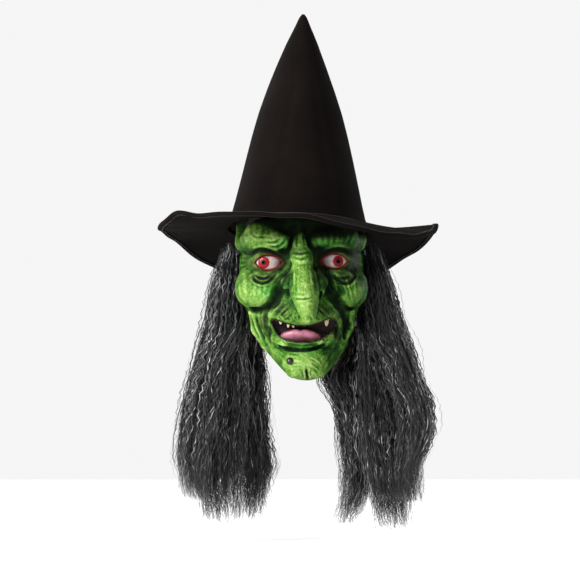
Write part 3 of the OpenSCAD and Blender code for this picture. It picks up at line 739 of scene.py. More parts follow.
def face_colour_values(points, outer):
    """Where the skin is tinted: olive round the eyes and in the muzzle, red lids, dark lips and inside; and
    where light and shade are painted: painted shade in the folds, pits and hollows, the brim's painted shadow
    at the hairline, the right side darker, and painted highlights on the ridges.
    """
    x, y, z = points.T
    front = smoothstep(-45, -60, y) * outer
    eye = np.minimum(almond_distance(0, x, z), almond_distance(1, x, z))
    olive = 0.8 * smoothstep(13, 2, eye)
    for cx, cz, w, h in ((-42, 119, 20, 9), (46, 121, 22, 12), (62, 136, 12, 18), (-64, 138, 9, 13),
                         (-24, 84, 13, 10), (-43, 68, 6, 14), (-2, 148, 14, 5), (41, 60, 5, 12),
                         (26, 80, 10, 6)):
        olive = np.maximum(olive, 0.75 * np.exp(-((x - cx) / w) ** 2 - ((z - cz) / h) ** 2))
    mouth = polygon_distance(smooth_outline(MOUTH), x, z)
    # the mouth is painted black inside its lips; painted shade darkens the slots beside the mouth, a pit
    # beside the nose and the left nostril
    dark = np.maximum(smoothstep(3.2, 0.8, mouth) * smoothstep(-45, -60, y),
                      0.9 * np.exp(-((x + 36) / 3) ** 2 - ((z - 54) / 8) ** 2))
    dark = np.maximum(dark, 0.9 * np.exp(-((x - 39) / 3.4) ** 2 - ((z - 58) / 9) ** 2))
    dark = np.maximum(dark, 0.8 * np.exp(-((x - 13.5) / 3) ** 2 - ((z - 129) / 7) ** 2))
    dark = np.maximum(dark, 0.9 * np.exp(-((x + 15) / 4) ** 2 - ((z - 101) / 5) ** 2))
    # dark paint along the hairline, which is also the painted shadow of the hat's brim over the top of the
    # forehead
    hairline = smoothstep(-1, 7, z - np.interp(x, [-75, -60, -35, -20, -10, 0, 10, 20, 45, 62, 75],
                                               [172, 176, 170, 162, 157, 163, 157, 158, 159, 163, 158]))
    dark = np.maximum(dark, 0.96 * hairline * outer)
    # painted shade: the right half of the face darker, away from the light, with broad patches of painted
    # shade over it
    shade = 0.3 * smoothstep(5, 60, x) * smoothstep(-30, 30, x)
    for cx, cz, w, h, strength in PAINTED_SHADES:
        shade = np.maximum(shade, strength * np.exp(-((x - cx) / w) ** 2 - ((z - cz) / h) ** 2))
    dark = np.maximum(dark, painted_fold_shade(x, z) * front)
    emerald = np.zeros(len(x))
    for cx, cz, w, h in ((-18, 158, 9, 14), (10, 150, 10, 12), (-33, 104, 16, 13), (34, 108, 11, 16),
                         (-17, 108, 7, 10), (24, 158, 22, 9), (8, 38, 26, 6), (58, 164, 9, 12)):
        emerald = np.maximum(emerald, np.exp(-((x - cx) / w) ** 2 - ((z - cz) / h) ** 2))
    # painted highlights on the nose, cheeks, brows, jowl and chin, most on the left side, which faces the
    # light
    light = np.zeros(len(x))
    for cx, cz, w, h in ((1, 105, 9, 34), (-52, 98, 20, 13), (-52, 166, 18, 11), (58, 99, 13, 12),
                         (4, 20, 22, 15),
                         (-50, 58, 9, 16), (-34, 34, 12, 12), (-62, 116, 8, 14), (6, 92, 8, 14),
                         (26, 162, 12, 6), (-2, 135, 9, 10), (-30, 166, 12, 6)):
        light = np.maximum(light, np.exp(-((x - cx) / w) ** 2 - ((z - cz) / h) ** 2))
    return {"olive": olive * front, "red": smoothstep(1.9, 0.7, eye) * front, "dark": dark,
            "emerald": emerald * front,
            "light": light * front, "inside": 1 - outer, "shade": shade * front}


def latex_paint():
    """Painted latex: green built up from dark wash and painted shade in the folds to dry-brushed ridges and
    painted highlights.
    """
    s = Shader("painted_latex", Specular_IOR_Level=0.04)
    fine, broad = s.value("fine"), s.value("broad")
    grain = s.noise(420, 6, 0.65)
    cloud = s.noise(38, 5, 0.6, distortion=0.8)
    # lighter on ridges and darker in hollows: partly the paint's wash and dry-brush, partly painted highlight
    # and painted shade
    high = s.math("ADD", s.math("MULTIPLY", fine, -0.85), s.math("MULTIPLY", broad, -0.26))
    # then the patches of painted light are lifted and the patches of painted shade lowered
    high = s.math("ADD", high, s.math("MULTIPLY", s.value("light"), 0.32))
    high = s.math("SUBTRACT", high, s.math("MULTIPLY", s.value("shade"), 0.85))
    crackle = s.voronoi(300, s.warped(0.004, 60), "DISTANCE_TO_EDGE")
    # painted shade in the fine cracks of the latex
    crease = s.span(crackle, 0.0, 0.10, 1.0, 0.0)
    high = s.math("SUBTRACT", high, s.math("MULTIPLY", crease, 0.22))
    high = s.math("ADD", high, s.span(cloud, 0.3, 0.7, -0.15, 0.13))
    high = s.math("ADD", high, s.span(grain, 0.3, 0.7, -0.09, 0.09))
    high = s.span(high, -0.75, 0.75)
    colour = s.ramp(high, (0.0, (0.0015, 0.005, 0.0015)), (0.26, (0.005, 0.024, 0.003)),
                    (0.46, (0.020, 0.072, 0.008)), (0.68, (0.074, 0.158, 0.022)),
                    (0.97, (0.200, 0.285, 0.085)))
    emerald = s.mix(1.0, colour, (0.30, 0.85, 0.60), "MULTIPLY")
    colour = s.mix(s.math("MULTIPLY", s.value("emerald"), 0.8), colour, emerald)
    umber = s.ramp(high, (0.12, (0.004, 0.004, 0.002)), (0.55, (0.020, 0.023, 0.009)),
                   (0.95, (0.08, 0.12, 0.03)))
    colour = s.mix(s.math("MULTIPLY", s.value("olive"), 0.85), colour, umber)
    spots = s.span(s.noise(900, 2, 0.5), 0.66, 0.74)
    colour = s.mix(s.math("MULTIPLY", spots, 0.3), colour, (0.02, 0.06, 0.01))
    # black in the mouth, and painted shade in the folds, pits, slots and under the brim at the hairline
    colour = s.mix(s.value("dark"), colour, (0.0025, 0.0045, 0.0022))
    colour = s.mix(s.value("red"), colour, (0.065, 0.003, 0.004))
    raw = s.mix(s.span(cloud, 0.3, 0.7), (0.26, 0.18, 0.09), (0.36, 0.26, 0.14))
    colour = s.mix(s.value("inside"), colour, raw)
    cells = s.voronoi(700, feature="DISTANCE_TO_EDGE")
    s.bump(s.span(cells, 0.0, 0.25), 0.25, 0.3)
    s.bump(s.span(crackle, 0.0, 0.16), 0.5, 0.5)
    s.bump(grain, 0.5, 0.35)
    s.bump(s.noise(160, 5, 0.6, distortion=1.2), 1.2, 0.35)
    rough = s.span(grain, 0.3, 0.7, 0.44, 0.60)
    rough = s.math("ADD", rough, s.math("MULTIPLY", s.value("dark"), 0.4), clamp=True)
    return s.done(Base_Color=colour, Roughness=rough)


def make_face():
    clay, points, quads, outer, fine, broad = sculpted_face(GRID_STEP)
    ob = mesh_object("latex_face", points, quads[:, ::-1] if flipped(points, quads) else quads, latex_paint())
    set_value(ob, "fine", fine)
    set_value(ob, "broad", broad)
    for key, values in face_colour_values(points, outer).items():
        set_value(ob, key, values)
    group = ob.vertex_groups.new(name="inside")
    for share in (0.5, 1.0):
        chosen = np.flatnonzero((1 - outer > share - 0.3) & (1 - outer <= share + 0.3))
        group.add(chosen.tolist(), share, "REPLACE")
    less = ob.modifiers.new("lighter_inside", "DECIMATE")
    less.ratio = 0.78
    less.vertex_group = "inside"
    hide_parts("face_shell")
    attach(ob, "mask")
    return clay


def flipped(points, quads):
    """True if the closed quads face inwards."""
    p = points[quads]
    return (np.cross(p[:, 2] - p[:, 0], p[:, 3] - p[:, 1]) * p.mean(1)).sum() < 0


def front_of(clay, x, z):
    """Height in front, along -Y, of the sculpted face at (x, z), before its rolled edges."""
    ix = int(round((x - clay.low[0]) / clay.step))
    iz = int(round((z - clay.low[2]) / clay.step))
    return clay.axes[1][np.argmax(clay.d[ix, :, iz] < 0)]


# ---------------------------------------------------------------- eyes


def eye_frame(k):
    """Centre of the eyeball and its axes: sideways, up and along the gaze."""
    cx, cz, turn = EYES[k]
    a = math.radians(turn)
    return np.array([cx, EYE_Y, cz]), np.array([math.cos(a), math.sin(a), 0]), np.array([0, 0, 1.0]), \
        np.array([math.sin(a), -math.cos(a), 0])


def cap_points(k, arcs, lift, around=96):
    """Rings of points on the eyeball, at arc lengths from the middle of the iris."""
    centre, side, up, out = eye_frame(k)
    turn = np.linspace(0, 2 * math.pi, around, endpoint=False)
    points = []
    for arc, h in zip(arcs, lift):
        angle = arc / EYE_R
        ring = np.sin(angle) * (np.cos(turn)[:, None] * side + np.sin(turn)[:,
                                                                            None] * up) + np.cos(angle) * out
        points.append(centre + ring * (EYE_R + h))
    return np.concatenate(points)


def sclera():
    s = Shader("eye_white", Roughness=0.2, Coat_Weight=0.5, Coat_Roughness=0.05, Specular_IOR_Level=0.4)
    near = s.value("near_lid")
    vein = s.wave(260, "DIAGONAL", 26, profile="SAW")
    web = s.voronoi(330, feature="DISTANCE_TO_EDGE")
    thin = s.math("MULTIPLY", s.span(web, 0.0, 0.045, 1.0, 0.0), s.span(s.noise(300, 3), 0.42, 0.6))
    base = s.mix(s.span(s.noise(130, 3), 0.3, 0.7), (0.33, 0.315, 0.305), (0.27, 0.19, 0.185))
    colour = s.mix(s.math("MULTIPLY", thin, 0.65), base, (0.35, 0.02, 0.02))
    colour = s.mix(s.math("MULTIPLY", s.span(vein, 0.8, 1.0), s.math("MULTIPLY", near, 0.5)), colour,
                   (0.38, 0.03, 0.03))
    colour = s.mix(s.math("MULTIPLY", near, 0.95), colour, (0.12, 0.004, 0.005))
    s.bump(web, 0.15, 0.15)
    return s.done(Base_Color=colour)


def iris_paint():
    s = Shader("red_iris", Roughness=0.35, Coat_Weight=0.08, Coat_Roughness=0.05, Specular_IOR_Level=0.08)
    r, ray = s.value("arc"), s.value("ray")
    colour = s.ramp(s.span(r, 1.2, 6.8), (0.0, (0.002, 0.001, 0.001)), (0.16, (0.02, 0.001, 0.001)),
                    (0.30, (0.03, 0.001, 0.001)), (0.42, (0.14, 0.002, 0.003)), (0.86, (0.19, 0.002, 0.004)),
                    (1.0, (0.03, 0.001, 0.001)))
    colour = s.mix(s.math("MULTIPLY", ray, 0.22), colour, (0.26, 0.012, 0.012))
    colour = s.mix(s.span(r, 2.6, 2.0), colour, (0.002, 0.001, 0.001))
    s.bump(ray, 0.15, 0.5)
    return s.done(Base_Color=colour)


def make_eyes():
    white, red = sclera(), iris_paint()
    for k, name in ((0, "left"), (1, "right")):
        rim = 6.8 - 0.5 * k
        arcs = np.concatenate([np.linspace(rim - 0.1, 26, 26), [26, 24]])
        lift = np.concatenate([np.zeros(26), [-2.0, -2.0]])
        lift[0] = 0.15
        points = cap_points(k, arcs, lift)
        ball = mesh_object(f"{name}_eyeball", points, grid_faces(len(arcs), 96, True)[:, ::-1], white)
        inward = (points[:, 0] - EYES[k][0]) * (1 if k == 0 else -1)
        set_value(ball, "near_lid", np.maximum(smoothstep(-2.0, -0.2,
                                                          almond_distance(k, points[:, 0], points[:, 2])),
                                               0.85 * smoothstep(8, 13.5,
                                                                 inward + 0.25 * (EYES[k][1] - points[:,
                                                                                                      2]))))
        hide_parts(f"{name}_eye")
        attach(ball, "mask")
        arcs = np.concatenate([[0.45, 0.9, 1.5], np.linspace(1.9, rim - 0.4, 12), [rim - 0.05, rim]])
        lift = np.concatenate([[-2.6, -1.6, 0.1], 0.35 - 0.02 * np.linspace(0, 3.2, 12) ** 2, [0.1, -0.6]])
        points = cap_points(k, arcs, lift)
        iris = mesh_object(f"{name}_iris_disc", points, grid_faces(len(arcs), 96, True)[:, ::-1], red)
        turn = np.tile(np.linspace(0, 2 * math.pi, 96, endpoint=False), len(arcs))
        rays = 0.5 + 0.25 * np.sin(23 * turn + k) + 0.25 * np.sin(37 * turn + 2)
        set_value(iris, "arc", np.repeat(arcs, 96))
        set_value(iris, "ray", rays * (np.repeat(arcs, 96) > 2.2) * (np.repeat(arcs, 96) < rim - 0.8))
        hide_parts(f"{name}_iris")
        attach(iris, "mask")


# ---------------------------------------------------------------- mouth and wart


def tongue_paint():
    s = Shader("tongue_latex", Roughness=0.36, Coat_Weight=0.3, Coat_Roughness=0.2)
    cloud = s.noise(120, 4, 0.6)
    colour = s.mix(s.span(cloud, 0.3, 0.7), (0.17, 0.038, 0.066), (0.27, 0.085, 0.125))
    # painted shade at the tongue's sides, underside and middle furrow
    colour = s.mix(s.value("shade"), colour, (0.030, 0.009, 0.018))
    s.bump(s.voronoi(1300), 0.5, 0.7)
    s.bump(cloud, 0.8, 0.5)
    return s.done(Base_Color=colour)


def make_tongue():
    """A broad tongue with a middle furrow and a raised tip."""
    rows, cols = 40, 64
    u = np.linspace(-1, 1, rows)[:, None]
    a = np.linspace(0, 2 * math.pi, cols, endpoint=False)[None, :]
    wide = np.sqrt(np.maximum(0, 1 - np.abs(u) ** 2.6))
    x = -1.5 + 25 * u + 0 * a
    depth = 9 * wide
    y = -88 + 5 * u ** 2 + depth * np.sin(a)
    top = np.clip(np.cos(a), 0, 1)
    z = 52.5 + 7.2 * wide * np.cos(a) - 2.2 * top * np.exp(-(u / 0.16) ** 2) + 1.4 * np.cos(7 * u) * top * 0.4
    z = z - 2.5 * u ** 2 - 0.35 * (y + 88)
    points = np.stack([x, y + 0 * a, z + 0 * x], -1).reshape(-1, 3)
    points += 0.35 * waves(points, 9, 40)[:, None] * [0.3, 0.6, 1]
    ob = mesh_object("tongue_latex", points, grid_faces(rows, cols, True)[:, ::-1], tongue_paint())
    weld(ob)
    # painted shade: darker at the sides, on the underside and along the middle furrow
    shade = smoothstep(0.55, 1.0, np.abs(u) + 0 * a) + 0.8 * smoothstep(-0.2, -0.9, np.cos(a) + 0 * u)
    set_value(ob, "shade", np.clip(shade + 0.6 * np.exp(-(u / 0.1) ** 2) * (np.cos(a) > 0), 0, 1).reshape(-1))
    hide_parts("tongue")
    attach(ob, "mask")


def ivory():
    s = Shader("painted_teeth", Roughness=0.3, Coat_Weight=0.5, Coat_Roughness=0.2)
    root = s.value("root")
    streak = s.wave(700, "X", 8)
    colour = s.mix(s.span(streak, 0.2, 0.9, 0.0, 0.5), (0.40, 0.33, 0.19), (0.24, 0.17, 0.08))
    colour = s.mix(s.span(s.noise(500, 4), 0.5, 0.7, 0.0, 0.6), colour, (0.12, 0.075, 0.03))
    colour = s.mix(root, colour, (0.05, 0.018, 0.010))
    s.bump(streak, 0.2, 0.4)
    return s.done(Base_Color=colour)


def tooth_shape(x, z, r, high, bend, lean):
    """A hooked tooth from its root down: points and how near each is to the root."""
    rows, cols = 22, 28
    t = np.linspace(0, 1, rows)[:, None]
    a = np.linspace(0, 2 * math.pi, cols, endpoint=False)[None, :]
    size = r * np.sqrt(np.maximum(0, 1 - t ** 2.4)) * (1 - 0.25 * t) * (1 + 0.08 * np.sin(5 * a))
    y0 = float(base_y(x, z)) + LATEX_T + r + 0.4
    points = np.stack([x + lean * t + size * np.cos(a), y0 - bend * t ** 2 + 0.8 * size * np.sin(a),
                       z - high * t + 0 * a], -1).reshape(-1, 3)
    return points, grid_faces(rows, cols, True)[:, ::-1], np.repeat(smoothstep(0.55, 0.1, t[:, 0]), cols)


def make_teeth():
    bone = ivory()
    groups = {"left_fang": [(-24, 72.5, 2.5, 7.5, 1.0, 0.6)], "right_fang": [(28.5, 73, 3.0, 10, 1.4, -0.4)],
              "snaggle_teeth": [(-14.5, 68, 2.1, 6.6, 1.0, -0.6), (-9.8, 67, 2.0, 5.8, 1.2, 0.7)]}
    for node, teeth in groups.items():
        points, faces, root = [], [], []
        for tooth in teeth:
            p, f, v = tooth_shape(*tooth)
            faces.append(f + sum(len(q) for q in points))
            points.append(p)
            root.append(v)
        ob = mesh_object(node + "_latex", np.concatenate(points), np.concatenate(faces), bone)
        set_value(ob, "root", np.concatenate(root))
        weld(ob)
        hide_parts(node)
        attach(ob, "mask")


def make_wart(clay):
    s = Shader("wart_gloss", Roughness=0.4, Coat_Weight=0.1, Coat_Roughness=0.1, Specular_IOR_Level=0.3)
    colour = s.mix(s.span(s.noise(600, 4), 0.35, 0.7), (0.002, 0.002, 0.002), (0.008, 0.009, 0.008))
    s.bump(s.noise(450, 3), 0.8, 0.5)
    rows, cols = 24, 36
    t = np.linspace(0.02, math.pi - 0.02, rows)[:, None]
    a = np.linspace(0, 2 * math.pi, cols, endpoint=False)[None, :]
    way = np.stack([np.sin(t) * np.cos(a), np.sin(t) * np.sin(a), np.cos(t) + 0 * a], -1).reshape(-1, 3)
    size = 4.1 + 0.35 * waves(way * 4, 5, 50)
    middle = np.array([-13, front_of(clay, -13, 24) - 0.9, 24])
    ob = mesh_object("wart_bead", middle + way * size[:, None] * [1, 0.95, 1],
                     grid_faces(rows, cols, True)[:, ::-1],
                     s.done(Base_Color=colour))
    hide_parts("chin_wart")
    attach(ob, "mask")


# ---------------------------------------------------------------- hair

# Stations of each lock on its own side, lowest first: (height, middle x, middle y, half width, half depth).
# The upper rows are the same on both sides.
FRONT_TOP = [(128, 88, -10, 9, 18), (146, 84, -10, 5, 14)]
SIDE_TOP = [(60, 90, 36, 18, 19), (90, 91, 34, 13, 18), (120, 89, 32, 10, 17), (144, 84, 30, 6, 13)]
BACK_TOP = [(-30, 62, 80, 22, 14), (10, 62, 82, 20, 14), (40, 66, 91, 20, 12), (62, 71, 98, 19, 12),
            (85, 70, 98, 18, 12), (115, 63, 90, 15, 10), (140, 57, 84, 12, 8)]
TOPS = {"front": FRONT_TOP, "side": SIDE_TOP, "back": BACK_TOP}
FALLS = {
    "right_front": [(-143, 127, 5, 3, 3), (-125, 123, 4, 8, 9), (-100, 120, 3, 14, 14),
                    (-77, 125, 2, 21, 18), (-54, 129, 0, 24, 20), (-20, 125, -2, 24, 21),
                    (2, 115, -4, 23, 21), (36, 107, -6, 21, 21), (70, 98, -8, 17, 21),
                    (104, 93, -9, 13, 20)],
    "right_side": [(-176, 106, 42, 3, 3), (-150, 104, 42, 12, 9), (-120, 100, 42, 24, 14),
                   (-80, 98, 42, 31, 16), (-40, 96, 42, 32, 18), (0, 92, 40, 28, 18),
                   (30, 90, 38, 24, 18)],
    "right_back": [(-170, 47, 52, 3, 3), (-150, 56, 54, 11, 8), (-130, 62, 58, 17, 11),
                   (-100, 68, 74, 21, 12), (-60, 66, 79, 23, 13)],
    "left_front": [(-140, 118, 4, 6, 7), (-120, 122, 3, 15, 13), (-90, 122, 2, 22, 18),
                   (-60, 118, 0, 22, 20), (-30, 114, -2, 22, 21), (2, 108, -4, 20, 21),
                   (36, 100, -6, 18, 21), (70, 94, -8, 15, 21), (104, 92, -9, 12, 20)],
    "left_side": [(-168, 93, 42, 3, 3), (-150, 94, 42, 15, 10), (-120, 98, 42, 28, 15),
                  (-80, 98, 42, 32, 16), (-40, 94, 42, 31, 18), (0, 90, 40, 27, 18),
                  (30, 89, 38, 23, 18)],
    "left_back": [(-165, 62, 56, 3, 3), (-150, 58, 60, 8, 8), (-130, 56, 70, 15, 10),
                  (-100, 54, 76, 25, 12), (-66, 60, 79, 24, 13)],
}
LOCKS = {name + "_lock": rows + TOPS[name.split("_")[1]] for name, rows in FALLS.items()}
ROOTS = {"front": (74, 98), "side": (98, 138), "back": (138, 178)}    # turn from the front, in degrees
WEFT_Z = 153


def hair_fibre():
    s = Shader("crimped_fibre", Roughness=0.40, Specular_IOR_Level=0.35, Anisotropic=0.4)
    tone = s.value("tone")
    cloud = s.noise(60, 3, 0.6)
    tone = s.math("ADD", tone, s.span(cloud, 0.3, 0.7, -0.08, 0.08))
    colour = s.ramp(tone, (0.0, (0.0035, 0.0035, 0.004)), (0.45, (0.008, 0.008, 0.009)),
                    (0.7, (0.055, 0.055, 0.058)),
                    (1.0, (0.30, 0.30, 0.305)))
    s.bump(s.noise(2500, 2, 0.5), 0.15, 0.4)
    return s.done(Base_Color=colour)


def ribbons(paths, sides, width):
    """Flat strips along rows of points: vertices and quads. width is per strand and point."""
    n, m = paths.shape[:2]
    half = sides * width[..., None] / 2
    points = np.stack([paths - half, paths + half], 2).reshape(-1, 3)
    k = np.arange(n)[:, None] * m * 2 + np.arange(m - 1)[None, :] * 2
    return points, np.stack([k, k + 1, k + 3, k + 2], -1).reshape(-1, 4)


def crimped(paths, rng, tight=1.0):
    """Adds the small crimp, the slow wander and stray ends to straight strands."""
    n = len(paths)
    step = np.linalg.norm(np.diff(paths, axis=1), axis=2)
    run = np.concatenate([np.zeros((n, 1)), np.cumsum(step, 1)], 1)
    length = rng.uniform(9.5, 16, (n, 1))
    phase = rng.uniform(0, 6.3, (n, 1))
    size = rng.uniform(0.9, 2.3, (n, 1)) * tight * smoothstep(0, 30, run)
    turn = rng.uniform(0, 6.3, (n, 1))
    wave = np.sin(2 * math.pi * run / length + phase) * size
    slow = rng.uniform(0.8, 4.5, (n, 1)) * smoothstep(20, 140, run)
    bend = np.sin(2 * math.pi * run / rng.uniform(45, 110, (n, 1)) + rng.uniform(0, 6.3, (n, 1))) * slow
    out = paths.copy()
    out[..., 0] += wave * np.cos(turn) + bend * np.cos(turn + 1.3)
    out[..., 1] += wave * np.sin(turn) + bend * np.sin(turn + 1.3)
    out[..., 2] += 0.3 * wave
    return out


def strand_sides(paths, middle, rng):
    """Width direction of each strand, mostly across the line of sight from outside the lock."""
    along = np.gradient(paths, axis=1)
    outward = paths - middle
    outward[..., 2] = 0
    side = np.cross(along, outward)
    side /= np.maximum(1e-6, np.linalg.norm(side, axis=2))[..., None]
    outward /= np.maximum(1e-6, np.linalg.norm(outward, axis=2))[..., None]
    twist = rng.normal(0, 0.7, (len(paths), 1, 1))
    return side * np.cos(twist) + outward * np.sin(twist)


def tones(paths, rng, silver=0.36):
    """Tone of each strand, 0 black to 1 silver, in clumps: lighter lower down, partly greyer hair and partly
    painted light, with painted glints along the strand.
    """
    n = len(paths)
    base = np.where(rng.random(n) < silver, rng.uniform(0.55, 1.0, n), rng.uniform(0.0, 0.5, n))[:, None]
    clump = 0.5 + 0.5 * waves(paths * [1, 1, 0.35], 26, 60)
    # lighter lower down: partly greyer hair, partly painted shade on the upper hair under the brim
    low = smoothstep(125, 20, paths[..., 2])
    # painted glints: bright specks along each strand that stand for light caught by the crimp
    painted_glint = smoothstep(0.25, 0.95, 0.5 + 0.5 * waves(paths, 8, 61, 20) + rng.normal(0, 0.12, paths.shape[:2]))
    return np.clip(base * (0.45 + 0.55 * low) * (0.6 + 0.5 * clump) * (0.35 + 1.1 * painted_glint), 0, 1)


def root_point(turn, rng):
    a = np.radians(turn)
    off = rng.uniform(3.0, 4.2, turn.shape)
    x = (HALF_W + off) * np.sin(a)
    y = -(HALF_L + off) * np.cos(a)
    return np.stack([x, y, WEFT_Z - 8 + 8 * np.cos(a)], -1)


def make_lock(node, count, segments, seed, fibre):
    stations = np.array(LOCKS[node], float)
    side, part = node.split("_")[:2]
    rng = np.random.default_rng(seed)
    z0 = stations[0, 0]
    disc = np.sqrt(rng.uniform(0.05, 1, count))
    ang = rng.uniform(0, 2 * math.pi, count)
    clumps = rng.uniform(-1, 1, (46, 2))
    at = np.stack([disc * np.cos(ang), disc * np.sin(ang)], 1)
    near = clumps[np.argmin(((at[:, None] - clumps[None]) ** 2).sum(-1), 1)]
    lowest = z0 + 4 + 85 * rng.uniform(0, 1, count) ** 1.5
    arch = 9
    t = np.linspace(0, 1, segments)[None, :]
    z = 138 + (lowest[:, None] - 138) * np.clip((t * segments - arch) / (segments - 1 - arch), 0, 1)
    cx, cy, hx, hy = (np.interp(z, stations[:, 0], stations[:, k]) for k in (1, 2, 3, 4))
    # the ends stay as wide as the fall is a little higher up, and the front fall lies close to the cheek
    blunt = stations[3]
    hx = np.where(z < blunt[0], np.maximum(hx, 0.8 * blunt[3]), hx)
    hy = np.where(z < blunt[0], np.maximum(hy, 7), hy)
    close = (12 if part == "front" else 4) * smoothstep(20, 60, z) * smoothstep(165, 130, z)
    cx, hx = cx - close / 2, hx + close / 2
    if (side, part) == ("right", "back"):       # this fall comes forward under the jaw
        inward = 9 * np.exp(-((z - 4) / 24) ** 2)
        cx, hx = cx - inward, hx + inward
    hy = hy * (1 + 0.6 * smoothstep(150, 110, z))   # neighbouring falls run into each other
    pull = (0.35 * t ** 2)[..., None]
    uv = at[:, None] * (1 - pull) + near[:, None] * pull
    loose = np.where(rng.random(count) < 0.2, rng.uniform(1.05, 1.4, count),
                     rng.uniform(0.85, 1.02, count))[:, None]
    path = np.stack([cx + hx * uv[..., 0] * loose, cy + hy * uv[..., 1] * loose, z], -1)
    cheek = np.interp(z, *SIDE) + 1.5 + (sway(z) if side == "right" else -sway(z))
    path[..., 0] = np.where((z > 30) & (path[..., 1] > -40), np.maximum(path[..., 0], cheek), path[..., 0])
    first, last = ROOTS[part]
    share = 0.5 + 0.5 * np.clip(at[:, 1] * 0.7 + rng.normal(0, 0.25, count), -1, 1)
    roots = root_point(first + (last - first) * share, rng)
    rise = {"front": 170, "side": 163, "back": 150}[part] + rng.uniform(-3, 3, count)
    land = path[:, arch]
    peak = np.stack([0.35 * roots[:, 0] + 0.65 * land[:, 0], 0.5 * (roots[:, 1] + land[:, 1]), rise], -1)
    b = (np.arange(arch) / arch)[None, :, None]
    path[:, :arch] = roots[:, None] * (1 - b) ** 2 + 2 * peak[:, None] * b * (1 - b) + land[:, None] * b ** 2
    path = crimped(path, rng)
    middle = np.stack([cx, cy, z], -1)
    width = rng.uniform(0.6, 1.15, (count, 1)) * (1 - 0.75 * smoothstep(0.7, 1, t))
    points, faces = ribbons(path, strand_sides(path, middle, rng), width)
    tone = np.repeat(tones(path, rng).reshape(-1), 2)
    # a dark core keeps the fall from showing daylight
    rows, cols = 40, 48
    zc = np.linspace(max(z0 + 40, -125), 146, rows)[:, None]
    ac = np.linspace(0, 2 * math.pi, cols, endpoint=False)[None, :]
    k = [np.interp(zc, stations[:, 0], stations[:, n]) for n in (1, 2, 3, 4)]
    close = 0.80 * smoothstep(zc.min() - 2, zc.min() + 45,
                              zc) * (1 + 0.07 * np.sin(9 * ac + zc / 19) + 0.05 * np.sin(17 * ac))
    core = np.stack([k[0] + k[2] * close * np.cos(ac), k[1] + k[3] * close * np.sin(ac), zc + 0 * ac],
                    -1).reshape(-1, 3)
    faces = np.concatenate([faces, grid_faces(rows, cols, True, len(points))])
    points = np.concatenate([points, core])
    tone = np.concatenate([tone, 0.10 + 0.10 * np.sin(31 * np.tile(ac[0], rows))])
    if side == "left":
        points = points * [-1, 1, 1]
    ob = mesh_object(node + "_fibre", points, faces, fibre)
    set_value(ob, "tone", tone)
    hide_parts(node)
    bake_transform(ob)


def make_back_hair(fibre):
    """Short hair over the nape, sewn to the cap's back."""
    rng = np.random.default_rng(77)
    count, segments = 1500, 24
    turn = np.radians(rng.uniform(148, 212, count))[:, None]
    lowest = rng.uniform(80, 100, count)[:, None]
    t = np.linspace(0, 1, segments)[None, :]
    z = 146 + (lowest - 146) * t
    deep = 3.2 + (2 + 10 * rng.random((count, 1)) ** 0.7) * np.sin(math.pi * np.clip(t * 0.8 + 0.02, 0, 1)) \
        * np.sin(np.clip((turn - math.radians(146)) / math.radians(68), 0, 1) * math.pi) ** 0.5
    x = (np.interp(z, *SIDE) + deep) * np.sin(turn)
    y = -(np.interp(z, *BACK) + deep) * np.cos(turn)
    path = crimped(np.stack([x, y, z], -1), rng, 0.8)
    width = rng.uniform(0.6, 1.1, (count, 1)) * (1 - 0.7 * smoothstep(0.75, 1, t))
    middle = np.stack([0 * z, 0 * z + 40, z], -1)
    points, faces = ribbons(path, strand_sides(path, middle, rng), width)
    tone = np.repeat(tones(path, rng, 0.2).reshape(-1), 2)
    rows, cols = 16, 40
    zc = np.linspace(90, 144, rows)[:, None]
    tc = np.radians(np.linspace(150, 210, cols))[None, :]
    off = 3.4 + 4.5 * np.sin(math.pi * np.clip((zc - 88) / 58, 0, 1)) + 0.7 * np.sin(40 * tc)
    core = np.stack([(np.interp(zc, *SIDE) + off) * np.sin(tc), -(np.interp(zc, *BACK) + off) * np.cos(tc),
                     zc + 0 * tc], -1).reshape(-1, 3)
    faces = np.concatenate([faces, grid_faces(rows, cols, False, len(points))])
    points = np.concatenate([points, core])
    tone = np.concatenate([tone, np.full(len(core), 0.12)])
    ob = mesh_object("back_hair_fibre", points, faces, fibre)
    set_value(ob, "tone", tone)
    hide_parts("back_hair")
    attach(ob, "mask")


# ---------------------------------------------------------------- hat

HAT = np.array([-3.8, 2.5, 175])
HAT_TILT, HAT_LEAN = math.radians(9), math.radians(1.4)
CONE_H, CROWN_W, CROWN_L, BRIM_W = 249, 163, 206, 77
FELT_T = 1.6
CONE_SHAPE = ([0, 0.04, 0.09, 0.2, 0.31, 0.42, 0.53, 0.64, 0.75, 0.86, 0.95, 0.985, 1],
              [1, 0.955, 0.922, 0.84, 0.76, 0.675, 0.583, 0.475, 0.355, 0.225, 0.1, 0.055, 0.02])
BRIM_WAVE = [(0, 189), (20, 178), (36, 167), (56, 166), (74, 169), (88, 181), (98, 177), (110, 162),
             (126, 148),
             (138, 131), (150, 122), (180, 112), (208, 124), (220, 136), (232, 148), (244, 166), (258, 174),
             (272, 176), (288, 184), (300, 193), (316, 190), (340, 191), (360, 189)]


def hat_placed(points):
    """From the hat's own frame, with the crown edge at height 0, to the row frame."""
    a, b = -HAT_TILT, HAT_LEAN
    rx = np.array([[1, 0, 0], [0, math.cos(a), -math.sin(a)], [0, math.sin(a), math.cos(a)]])
    ry = np.array([[math.cos(b), 0, math.sin(b)], [0, 1, 0], [-math.sin(b), 0, math.cos(b)]])
    return points @ (ry @ rx).T + HAT


